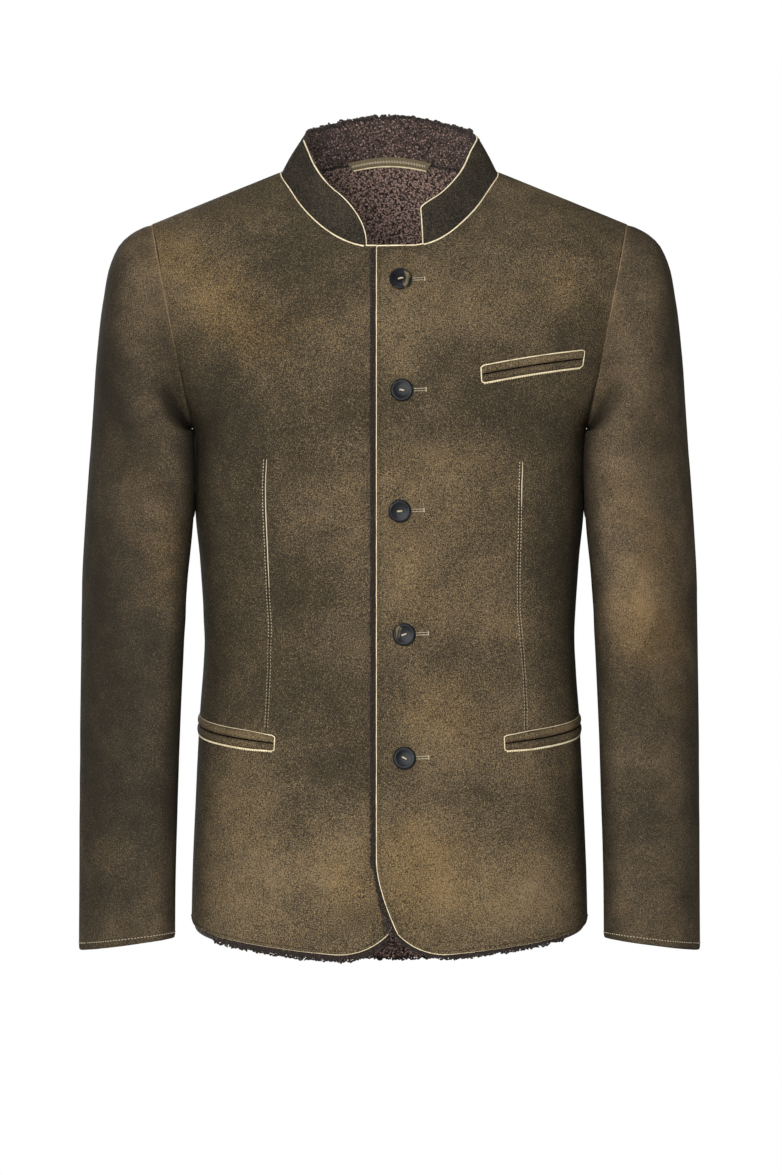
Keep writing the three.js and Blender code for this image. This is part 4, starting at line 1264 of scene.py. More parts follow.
class JacketColours(bpy.types.PropertyGroup):
    """Colours of the skins, wool, thread and horn."""

    suede: colour_property("Body suede", "Middle tone of the body's suede", 90, 78, 59)
    sleeve_suede: colour_property("Sleeve suede", "Middle tone of the sleeves' suede", 88, 76, 59)
    collar_suede: colour_property("Collar suede", "Middle tone of the collar and welts", 59, 53, 44)
    shearling: colour_property("Shearling", "Middle tone of the wool", 98, 81, 74)
    cut_edge: colour_property("Cut edge", "The skins' undyed cut edge", 252, 236, 198)
    thread: colour_property("Thread", "Pale thread of darts, hems and buttonholes", 214, 200, 170)
    dark_thread: colour_property("Edge thread", "Thread along the front edge", 70, 58, 40)
    tape: colour_property("Neck tape", "Woven tape in the back neck", 128, 115, 90)
    horn: colour_property("Horn", "Middle tone of the buttons", 15, 17, 21)
    slit: colour_property("Slit", "Shade between the welts", 16, 12, 9)
    floor: colour_property("Floor", "The studio floor", 240, 239, 236)


class JacketStage(bpy.types.PropertyGroup):
    """Light and camera."""

    key_power: power_property("Key light", "Power of the large front light", 150)
    side_power: power_property("Side lights", "Power of each side light", 24)
    back_power: power_property("Back light", "Power of the large light behind", 90)
    top_power: power_property("Top light", "Power of the light above", 26)
    ambient: FloatProperty(
        name="Ambient", description="Strength of the even light all round", default=0.16, min=0, max=4,
    )
    floor_level: length_property("Floor level", "Height of the floor", -1.45, -10, 0)
    lens: FloatProperty(
        name="Lens", description="Focal length of the camera in millimetres", default=266.4, min=20, max=600,
    )


# ---- the pieces ----

class JACKET_OT_fronts(bpy.types.Operator):
    """Cut the two fronts, sew their darts and edges"""

    bl_idname = "jacket.fronts"
    bl_label = "Fronts"

    def execute(self, context):
        sizes = context.scene.jacket_sizes
        for side, panel in fronts().items():
            name = SIDE_NAME[side]
            outer, inner, _, tone, warmth = panel.suede()
            shape = Shape()
            add_shell(shape, outer, inner, tone, warmth)
            front = shape.build(f"{name}_front_suede", "suede_body", "suede_body")
            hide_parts(f"front_{name}")
            trims = [self.edges(panel, side, sizes), *self.seams(panel, side, sizes)]
        return {"FINISHED"}

    def edges(self, panel, side, sizes):
        """Pale cut edge from the collar's end round the corner and along the hem."""
        path, ups = edge_path(panel, COLLAR_END_LEVEL[side])
        level = smoothstep(TOP_EDGE_OUTER - 2, TOP_EDGE_OUTER - 1, path[:, 2])
        path = path + level[:, None] * (TOP_BEAD_OUT * ups + np.array([0, 0, TOP_BEAD_UP]))
        run = run_along(path)
        corner = run[len(panel.heights) - int(np.argmin(np.abs(panel.heights - COLLAR_END_LEVEL[side])))]
        half = sizes.edge_width / MM / 2
        thin = 0.4 if side > 0 else 0.45
        radius = half * (1 - (1 - thin) * smoothstep(corner + 40, corner + 90, run))
        shape = Shape()
        add_cut_edge(shape, path, ups, radius, 11 + side)
        return shape.build(f"{SIDE_NAME[side]}_front_cut_edge", "suede_body", "raw_edge")

    def seams(self, panel, side, sizes):
        """Stitches inside the edge, and two rows along the dart."""
        name = SIDE_NAME[side]
        path, ups = fine_path(*edge_path(panel, COLLAR_END_LEVEL[side], outside=True), 3.0)
        row = inset(path, ups, EDGE_ROW * side)
        rows = Shape()
        sewn(rows, row, ups, sizes, start=6, rise=0.12, closeness=1.5, tone=-0.5)
        edge_rows = rows.build(f"{name}_front_edge_stitches", "suede_body", "dark_thread")
        dart = Shape()
        stations = np.array(DARTS[side], float)
        run = run_along(stations)
        places = np.linspace(0, run[-1], 90)
        line = smooth_through(run, stations, places)
        centre, up = on_front(line[:, 0], line[:, 1], side)
        centre = centre + up * crease_move(centre, up)[:, None]
        length = run_along(centre)[-1]
        for offset in (-DART_ROW, DART_ROW):
            row = inset(centre, up, offset)
            for part, tone in enumerate((0.1, -0.2, -0.45)):
                sewn(dart, row, up, sizes, start=length * part / 3, end=length * (part + 1) / 3, rise=0.15, tone=tone)
        top = DART_TOP[side]
        cord = inset(centre, up, DART_ROW)
        keep = run_along(cord) < top
        swell = 0.16 + 0.36 * np.sin(math.pi * run_along(cord)[keep] / top) ** 0.4
        dart.add(*tube(cord[keep] + up[keep] * 0.2, swell, up[keep], 6), tone=0.25)
        dart_rows = dart.build(f"{name}_dart_stitches", "suede_body", "thread")
        # A thin dark cord down the dart's fold: painted shade in the fold.
        fold = Shape()
        fold.add(*tube(centre + up * 0.02, 0.2, up, 5, flatness=0.5))
        fold_shade_piece = fold.build(f"{name}_dart_fold_shade", "suede_body", "slit")
        return [edge_rows, dart_rows, fold_shade_piece]


class JACKET_OT_back(bpy.types.Operator):
    """Cut the back in one piece"""

    bl_idname = "jacket.back"
    bl_label = "Back"

    def execute(self, context):
        sizes = context.scene.jacket_sizes
        panel = Panel("back", columns=92)
        outer, inner, normals, tone, warmth = panel.suede()
        shape = Shape()
        add_shell(shape, outer, inner, tone, warmth)
        back = shape.build("back_suede", "suede_body", "suede_body")
        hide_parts("back")
        edge = Shape()
        add_cut_edge(edge, (outer[-1] + inner[-1]) / 2, normals[-1], sizes.edge_width / MM / 2 * 0.6, 21)
        edge_piece = edge.build("back_cut_edge", "suede_body", "raw_edge")
        rows = Shape()
        sewn(rows, outer[-2], normals[-2], sizes, rise=0.05)
        rows_piece = rows.build("back_hem_stitches", "suede_body", "dark_thread")
        return {"FINISHED"}


class JACKET_OT_sleeves(bpy.types.Operator):
    """Close the two sleeves and set them in the armholes"""

    bl_idname = "jacket.sleeves"
    bl_label = "Sleeves"

    def execute(self, context):
        sizes = context.scene.jacket_sizes
        for side in (1, -1):
            name = SIDE_NAME[side]
            points, normals, at = sleeve_rings(side)
            from_head, from_cuff = run_along(points), (at[-1] - at)[:, None]
            move = crease_move(points, normals) * smoothstep(0, 20, from_head)
            move = move + seam_move(from_head) - 0.5 * np.exp(-(from_cuff / 1.2) ** 2)
            outer = points + normals * move[..., None]
            tone, warmth = wear_and_painted_light(points, normals)
            tone = tone + 0.3 * np.exp(-(from_head / 4) ** 2) - 0.25 * np.exp(-(from_cuff / 6) ** 2)
            shape = Shape()
            add_shell(shape, outer, outer - normals * SKIN, tone, warmth, (0, 1), closed_round=True)
            sleeve = shape.build(f"{name}_sleeve_suede", "suede_sleeve", "suede_sleeve", "wool_ground")
            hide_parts(f"sleeve_{name}")
            rows = Shape()
            near_cuff = int(np.argmin(np.abs(from_cuff[:, 0] - 4.6)))
            ring = np.concatenate([outer[near_cuff], outer[near_cuff][:1]])
            ring_ups = np.concatenate([normals[near_cuff], normals[near_cuff][:1]])
            sewn(rows, *fine_path(ring, ring_ups, 2.5), sizes, rise=0.1)
            rows_piece = rows.build(f"{name}_cuff_stitches", "suede_sleeve", "thread")
            edge = Shape()
            lip = (outer[-1] * 2 - normals[-1] * SKIN) / 2
            radius = rough_radius(len(lip), 0.8, 31 + side)
            edge.add(*tube(lip, radius, normals[-1], 8, closed=True))
            edge_piece = edge.build(f"{name}_cuff_edge", "suede_sleeve", "suede_collar")
            seam_piece = self.armhole(side, outer[0], normals[0])
        return {"FINISHED"}

    def armhole(self, side, line, ups):
        """The roll along the armhole, darker below the arm as painted shade, the folds below the arm, painted dark as
        shade, and the shoulder seam that closes the panels' gap.
        """
        seam = Shape()
        # Painted shade: the roll is darker below the arm, in the gap between sleeve and body.
        above = smoothstep(-205, -120, line[:, 2])
        radius = rough_radius(len(line), 0.5 + 0.5 * above, 33 + side)
        seam.add(*tube(line - ups * 0.25, radius, ups, 8, closed=True), tone=np.repeat(-0.5 + 1.15 * above, 8))
        # A dark fold under the arm, painted as shade where the sleeve meets the body.
        reach = np.linspace(-1, 1, 25)
        under = np.stack([
            np.full(25, side * (ARMPIT[0] + 2.2)), UNDERARM_REACH * reach,
            ARMPIT[1] - UNDERARM_DROP - 1.5 * reach ** 2,
        ], axis=1)
        swell = 0.4 + UNDERARM_RADIUS * np.sqrt(1 - reach ** 2)
        seam.add(*tube(under, swell, np.tile([0.0, 0.0, 1.0], (25, 1)), 10), tone=-0.9)
        # The short fold below the armpit, painted dark as shade.
        x, y, top, foot, radius = ARMPIT_FOLD
        fold = np.stack([np.full(15, side * x), np.full(15, y), np.linspace(top, foot, 15)], axis=1)
        swell = 0.3 + radius * np.sin(np.linspace(0, math.pi, 15)) ** 0.6
        seam.add(*tube(fold, swell, np.tile([0.0, 1.0, 0.0], (15, 1)), 8), tone=-0.7)
        panel = Panel("front", side)
        face, wrong_side, face_normals, _, _ = panel.suede()
        high = panel.heights >= SHOULDER_TIP[1]
        shoulder = (face * 0.6 + wrong_side * 0.4)[high, -1]
        seam.add(*tube(shoulder, 0.8, face_normals[high, -1], 8), tone=-0.2)
        return seam.build(f"{SIDE_NAME[side]}_armhole_seam", "suede_sleeve", "suede_sleeve")


class JACKET_OT_collar(bpy.types.Operator):
    """Stand the collar on the neckline"""

    bl_idname = "jacket.collar"
    bl_label = "Collar"

    def execute(self, context):
        sizes = context.scene.jacket_sizes
        turns, places, total = collar_turns()
        base, inward, up = collar_frame(turns)
        height = collar_height(places, total, COLLAR_HEIGHT)
        levels = np.linspace(0, 1, 15)[:, None]
        rise = SEAM + (height - SEAM)[None] * levels
        wave = 0.7 * np.sin(places / 31 + 0.6) * levels ** 1.5 + 0.4 * np.sin(places / 13) * levels ** 2
        belly = -0.8 * np.sin(levels * math.pi)
        outer = base[None] + up[None] * rise[..., None] + inward[None] * (wave + belly)[..., None]
        ups = unit(-inward * np.cos(0.25) + up * 0.2)[None] + np.zeros_like(outer)
        tone, warmth = wear_and_painted_light(outer, ups)
        tone = 0.5 * tone + 0.15 * levels - 0.1
        inner = outer + inward[None] * SKIN
        shape = Shape()
        add_shell(shape, outer, inner, tone, warmth * 0.5)
        collar = shape.build("collar_suede", "suede_collar", "suede_collar")
        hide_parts("collar")
        middle = (outer + inner) / 2
        half = sizes.edge_width / MM / 2
        edges = Shape()
        left, right = middle[:, 0], middle[:, -1]
        path = np.concatenate([left[:-1], middle[-1], right[::-1][1:]])
        out = np.concatenate([ups[:-1, 0], ups[-1], ups[::-1, -1][1:]])
        add_cut_edge(edges, path, out, half, 41, step=1.6)
        seam = outer[0] - up * (0.5 + SEAM) - inward * 0.55
        add_cut_edge(edges, seam, ups[0], half * 0.86, 42, step=1.8, flatness=0.75)
        edge_piece = edges.build("collar_cut_edges", "suede_collar", "raw_edge")
        rows = Shape()
        upper = outer[-1] - up * 3.0 - inward * 0.1
        keep = (places > 4) & (places < total - 6)
        sewn(rows, upper[keep], ups[0][keep], sizes, rise=0.05)
        rows_piece = rows.build("collar_stitches", "suede_collar", "dark_thread")
        return {"FINISHED"}


class JACKET_OT_shearling(bpy.types.Operator):
    """Lay the wool behind the skins and raise its locks where they show"""

    bl_idname = "jacket.shearling"
    bl_label = "Shearling"

    def execute(self, context):
        sizes = context.scene.jacket_sizes
        self.rim, self.knot = rim_lock(sizes), ground_lock(sizes)
        spacing = sizes.curl_spacing / MM
        for side in (1, -1):
            self.front(side, spacing)
        self.back(spacing)
        self.collar(spacing)
        return {"FINISHED"}

    def ground(self, name, node, panel, drop, flat, area, locks, rests_on):
        points, normals = panel.surface(drop)
        outer = points - normals * (SKIN + PILE_GAP)
        inner = points - normals * lining_depth(panel, points)[..., None]
        shade = np.zeros(panel.z.shape)
        # Painted shade: the front wool's ground is darker along its hem and front edge, under the skin's edge.
        if panel.face == "front":
            shade[-1] = shade[:, 0] = RIM_SHADE
        shape = Shape()
        add_shell(shape, outer, inner, shade)
        ground = shape.build(name, "shearling", "wool_ground")
        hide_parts(node)
        wool = locks(inner, -normals, points)
        return ground

    def hem_locks(self, shape, rims, draw, reach, count_step):
        """Locks that hang past a rim, toned dark as painted shade under it: rims holds its near and far lines."""
        near, far = rims
        length = run_along(near)[-1]
        for row in range(3):
            places = np.arange(0.5 * row, length, count_step)
            centres = between_rims(near, far, places, draw)
            knots = np.arange(0, length + 3, 3.0)
            tufts = np.interp(places, knots, draw.uniform(-1.2, 1.0, len(knots)))
            centres[:, 2] += 2.4 - reach * row / 2 + tufts + draw.uniform(-0.5, 0.5, len(places))
            ups = np.tile([0.0, 0.0, -1.0], (len(places), 1)) + draw.normal(0, 0.35, (len(places), 3))
            add_locks(shape, self.rim, centres, unit(ups), draw, 0.4, 0.9, 1.35, (-0.65, 0.1), 0.3)

    def edge_locks(self, shape, near, far, draw):
        """Locks that peep out along the front edge and spread at its rounded corner, toned dark as painted shade under
        the edge.
        """
        length = run_along(near)[-1]
        for row in range(6):
            places = np.arange(0.4 * row, length, 2.0)
            centres = between_rims(near, far, places, draw)
            widened = EDGE_WOOL_SPREAD * smoothstep(-640, -692, centres[:, 2])
            centres[:, 0] += 2.4 - (0.75 + widened / 5) * row + draw.uniform(-0.5, 0.5, len(places))
            ups = np.tile([-1.0, -0.3, 0.0], (len(places), 1))
            add_locks(shape, self.rim, centres, unit(ups), draw, 0.4, 0.6, 1.0, (-0.75, -0.05), 0.3)

    def front(self, side, spacing):
        name = SIDE_NAME[side]
        past = PILE_PAST_EDGE if side > 0 else 0.0
        heights = spaced((5.6, -50, 3), (-50, -65.4, 1.2), (-65.4, -66, 0.2), (-66, -641, 11), (-641, -689, 5))
        panel = Panel("front", side, heights, 34, past)
        drop = np.zeros(panel.z.shape)
        drop[-1] = -PILE_PAST_HEM if side < 0 else -PILE_PAST_HEM_LEFT
        draw = np.random.default_rng(101 + side)

        def locks(inner, normals, points):
            shape = Shape()
            centres, ups = spread(inner, normals, spacing * 1.1, draw, within(132, above=-112))
            add_locks(shape, self.knot, centres, ups, draw, 0.7, root=0.8)
            near, far = points[-1] + normals[-1] * (SKIN + PILE_GAP + 0.6), inner[-1]
            wide = np.abs(near[:, 0]) < 163
            self.hem_locks(shape, (near[wide], far[wide]), draw, 1.9 if side > 0 else 2.7, 1.3)
            if side > 0:
                first = int(np.argmin(np.abs(heights - TOP_EDGE_OUTER)))
                near = points[first:, 0] + normals[first:, 0] * (SKIN + PILE_GAP + 0.5)
                self.edge_locks(shape, near, inner[first:, 0], draw)
            return shape.build(f"{name}_front_wool_locks", "shearling", "wool_locks")

        self.ground(
            f"{name}_front_wool", f"lining_front_{name}", panel, drop, (0.29, 0.73), 0.18, locks,
            [f"{name}_front_suede"],
        )

    def back(self, spacing):
        heights = np.concatenate([spaced((17.95, 7, 1.8)), spaced((5.6, -66, 4), (-66, -641, 12), (-641, -689, 5))])
        panel = Panel("back", 1, heights, 52)
        drop = np.zeros(panel.z.shape)
        drop[-1] = -PILE_PAST_HEM
        draw = np.random.default_rng(107)

        def locks(inner, normals, points):
            shape = Shape()
            # The back neck's locks are toned brighter, as painted light inside the shaded neck.
            centres, ups = spread(inner, normals, spacing * 0.82, draw, within(90, above=-86))
            add_locks(shape, self.knot, centres, ups, draw, 0.6, 0.64, 1.0, (0.4, 1.5), 0.6)
            centres, ups = spread(inner, normals, spacing * 0.85, draw, within(50, below=-668))
            add_locks(shape, self.knot, centres, ups, draw, 0.7, 0.6, 1.0, (0.3, 1.3), 0.9)
            near = points[-1] + normals[-1] * (SKIN + PILE_GAP + 0.6)
            wide = np.abs(near[:, 0]) < 168
            self.hem_locks(shape, (near[wide], inner[-1][wide]), draw, 2.4, 1.4)
            return shape.build("back_wool_locks", "shearling", "wool_locks")

        self.ground("back_wool", "lining_back", panel, drop, (0.53, 0.75), 0.33, locks, ["back_suede"])

    def collar(self, spacing):
        turns, places, total = collar_turns()
        base, inward, up = collar_frame(turns)
        behind = smoothstep(-0.3, 0.2, np.sin(turns))
        height = collar_height(places, total, COLLAR_HEIGHT - COLLAR_WOOL_SINK)
        height = np.maximum(0.5, height - 0.8 + COLLAR_WOOL_RISE * behind)
        levels = np.linspace(0, 1, 9)[:, None]
        rise = SEAM + 0.2 + (height - SEAM)[None] * levels
        near = base[None] + up[None] * rise[..., None] + inward[None] * (SKIN + PILE_GAP)
        deep = 4.9 - 1.0 * levels ** 4
        far = base[None] + up[None] * rise[..., None] + inward[None] * deep[..., None]
        shape = Shape()
        add_shell(shape, near, far)
        ground = shape.build("collar_wool", "shearling", "wool_ground")
        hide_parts("lining_collar")
        wool = Shape()
        draw = np.random.default_rng(113)
        self.collar_face(wool, spacing, far, (base, inward, up), total, draw)
        self.collar_rim(wool, near[-1], far[-1], up, places, total, behind, draw)
        wool_piece = wool.build("collar_wool_locks", "shearling", "wool_locks")

    def collar_face(self, wool, spacing, far, frame_lines, total, draw):
        """Locks over the collar's inside and along its seam."""
        base, inward, up = frame_lines
        ups = np.broadcast_to(inward[None], far.shape) + np.zeros_like(far)
        centres, normals = spread(far, ups, spacing * 0.85, draw)
        add_locks(wool, self.knot, centres, normals, draw, 0.7, 0.65, 1.05, (-0.05, 0.95), 0.9)
        at = np.arange(3, total - 3, 1.5)
        low, above, inwards = resampled(base, at, up, inward)
        deeper, higher = (draw.uniform(*limits, len(at))[:, None] for limits in ((4.6, 6.4), (-1.2, 0.8)))
        seam = low + inwards * deeper + above * higher
        add_locks(wool, self.knot, seam, unit(inwards), draw, 0.7, tones=(-0.1, 0.5))

    def collar_rim(self, wool, near, far, up, places, total, behind, draw):
        """Ragged locks along the rim behind the neck, and a low row of them beside it."""
        keep = behind > 0.08
        length = run_along(near[keep])[-1]
        for row in range(4):
            at = np.arange(0.3 * row, length, 1.9)
            centre = between_rims(near[keep], far[keep], at, draw, -0.1)
            direction = resampled(near[keep], at, up[keep])[1]
            knots = np.arange(0, length + 3, 3.0)
            rise = np.interp(at, knots, draw.uniform(-1.6, 1.6, len(knots))) + draw.uniform(-0.8, 0.6, len(at))
            centre = centre + direction * rise[:, None]
            add_locks(wool, self.rim, centre, unit(direction), draw, 0.45, 0.9, 1.55, (-0.35, 0.35), 0.3)
        sides = (behind <= 0.08) & (places > 2) & (places < total - 2)
        at = np.arange(2, total - 2, 2.0)
        at = at[np.interp(at, places, sides.astype(float)) > 0.5]
        centre = between_rims(near, far, at, draw, 0.2)
        add_locks(wool, self.rim, centre, unit(resampled(near, at, up)[1]), draw, 0.4, 0.6, 0.9, (0.0, 0.4))


class JACKET_OT_neck_tape(bpy.types.Operator):
    """Sew the tape into the back neck"""

    bl_idname = "jacket.neck_tape"
    bl_label = "Neck tape"

    def execute(self, context):
        half = math.asin(TAPE_HALF_WIDTH / SHOULDER_NECK[0])
        spans = np.linspace(TAPE_LOWER_SHARE, 1, 7)[:, None]
        across = np.linspace(-1, 1, 61)[None]
        base, inward, up = collar_frame(math.pi / 2 + half * across * spans)
        base = base - up * (TAPE_DROOP * (across * spans) ** 2)[..., None]
        levels = np.linspace(-4.2, 4.6, 7)[:, None]
        swell = 0.5 * np.sin((levels + 4.2) / 8.8 * math.pi)
        outer = base + up * levels[..., None] + inward * (9.8 + swell)[..., None]
        inner = outer - inward * 0.9
        shape = Shape()
        add_shell(shape, outer, inner)
        tape = shape.build("neck_tape_woven", "tape", "tape")
        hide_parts("neck_tape")
        up, ups = up[0], inward[0]
        edge = Shape()
        add_cut_edge(edge, outer[0] - up * 0.1, ups, 0.75, 51, step=1.6)
        edge_piece = edge.build("neck_tape_edge", "tape", "raw_edge")
        zigzag = Shape()
        run = run_along(outer[3])[-1]
        places = np.arange(3, run - 3, ZIGZAG_PITCH)
        low, next_low = (resampled(outer[2], places + ahead)[0] for ahead in (0, ZIGZAG_PITCH))
        high = resampled(outer[4], places + ZIGZAG_PITCH / 2)[0]
        centres = np.concatenate([low + high, next_low + high]) / 2
        forward = unit(np.concatenate([high - low, next_low - high]))
        normals = np.tile(resampled(outer[3], places, ups)[1], (2, 1))
        add_copies(zigzag, bead(5, 3, 3.6, 0.34), centres + normals * 0.25, forward, normals, tone=0.1)
        zigzag_piece = zigzag.build("neck_tape_zigzag", "tape", "thread")
        return {"FINISHED"}


def pocket_grid(pocket, levels, columns, extra=0.0):
    """Points and normals of a strip on a front, levels above the slit's middle, columns from its front end."""
    side = pocket["side"]
    lift = LAP_RISE * side
    start = angle_at_x(pocket["z"], pocket["x"], lift)
    fine = np.linspace(float(start), 0, 161)
    run = run_along(body_point("front", fine, np.full(161, float(pocket["z"])), lift))
    along = np.linspace(-extra, pocket["length"] + extra, columns + 1)
    bow = pocket["arch"] * np.sin(math.pi * np.clip(along / pocket["length"], 0, 1))
    z = pocket["z"] + pocket["rise"] * along + bow
    narrowed = 1 - pocket["taper"] / pocket["height"] * 2 * (1 - smoothstep(0, 30, along))
    angles = np.interp(along, run, fine)
    angles = np.where(along < 0, float(start) + (along / run[1]) * (fine[1] - fine[0]), angles)
    heights = z[None] + np.asarray(levels, float)[:, None] * narrowed[None]
    grid = np.broadcast_to(angles[None], heights.shape)
    points, normals = body_point("front", grid, heights, lift), body_normal("front", grid, heights, lift)
    points, normals = mirrored(side, points, normals)
    return points + normals * crease_move(points, normals)[..., None], normals


class JACKET_OT_pockets(bpy.types.Operator):
    """Set the welts, slits and cut windows of the three pockets"""

    bl_idname = "jacket.pockets"
    bl_label = "Pockets"

    def execute(self, context):
        for seed, (place, pocket) in enumerate(POCKETS.items()):
            self.pocket(place, pocket, context.scene.jacket_sizes, 61 + 5 * seed)
        return {"FINISHED"}

    def pocket(self, place, pocket, sizes, seed):
        label = "chest_pocket" if place == "chest" else f"pocket_{place}"
        half = pocket["height"] / 2
        columns = round(pocket["length"] / 2.6)
        frame_piece = self.window(label, place, pocket, sizes, seed, half)
        points, normals = pocket_grid(pocket, [0.0], columns)
        shade = Shape()
        gap = np.sin(np.linspace(0.12, 0.94, columns + 1) * math.pi) ** 0.5
        shade.add(*tube(points[0] + normals[0] * 0.35, 1.0 * gap, normals[0], 8, flatness=0.55))
        shade_piece = shade.build(f"{label}_slit", "suede_collar", "slit")
        for part, low, high in (("upper", WELT_GAP, half), ("lower", -half, -WELT_GAP)):
            t = np.linspace(0, 1, 9)
            points, normals = pocket_grid(pocket, low + (high - low) * t, columns)
            puff = 0.45 + 1.5 * np.sin(t * math.pi) ** 0.55
            ends = np.sin(np.linspace(0, 1, columns + 1) * math.pi) ** 0.25
            outer = points + normals * (0.5 + puff[:, None] * (0.35 + 0.65 * ends))[..., None]
            inner = points + normals * 0.3
            tone = (0.0 if part == "upper" else -0.35) + 0.25 * np.sin(t * math.pi)[:, None]
            shape = Shape()
            add_shell(shape, outer, inner, tone, wear_and_painted_light(points, normals)[1] * 0.6 + 0.15)
            welt = shape.build(f"{label}_{part}_welt_suede", "suede_collar", "suede_body")
            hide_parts(f"{label}_{part}_welt")
            extras = [frame_piece, shade_piece] if part == "lower" else []
            pocket["length"] * MM
            pocket["length"] * MM * 0.0082

    def window(self, label, place, pocket, sizes, seed, half):
        """The pale cut edge round the window, thin above a lower pocket and scalloped below."""
        columns = round(pocket["length"] / 2.0)
        top, top_up = pocket_grid(pocket, [half + 0.7], columns)
        low, low_up = pocket_grid(pocket, [-half - 0.7], columns)
        ends, ends_up = pocket_grid(pocket, np.linspace(half - 0.8, -half + 0.8, 9), 1, 0.8)
        radius = sizes.edge_width / MM / 2 * 0.68
        shape = Shape()
        closed = place == "chest"
        line = [top[0][::-1][1:-1], ends[:, 0], low[0][1:-1]]
        up = [top_up[0][::-1][1:-1], ends_up[:, 0], low_up[0][1:-1]]
        if closed:
            line.append(ends[::-1, -1])
            up.append(ends_up[::-1, -1])
        line, up = np.concatenate(line), np.concatenate(up)
        run = run_along(line)
        thin = 1.0 if closed else 0.55
        sizes_along = radius * (thin + (1 - thin) * smoothstep(pocket["length"] - 14, pocket["length"], run))
        if closed:
            points, normals = fine_path(np.concatenate([line, line[:1]]), np.concatenate([up, up[:1]]), 1.7)
            wobble = rough_radius(len(points) - 1, radius, seed, 0.2)
            shape.add(*tube(points[:-1] + normals[:-1] * 0.7, wobble, unit(normals[:-1]), 8, closed=True, flatness=0.8))
        else:
            add_cut_edge(shape, line + up * 0.6, up, sizes_along, seed, step=1.7, flatness=0.8)
        low_points, low_ups = fine_path(low[0][1:-1], low_up[0][1:-1], 2.4)
        scallop = bead(6, 3, 2.3, 0.56)
        down = inset(low_points, low_ups, -0.75 * pocket["side"])
        add_copies(shape, scallop, down + low_ups * 0.5, unit(np.gradient(low_points, axis=0)), low_ups, tone=0.05)
        return shape.build(f"{label}_cut_window", "suede_body", "raw_edge")


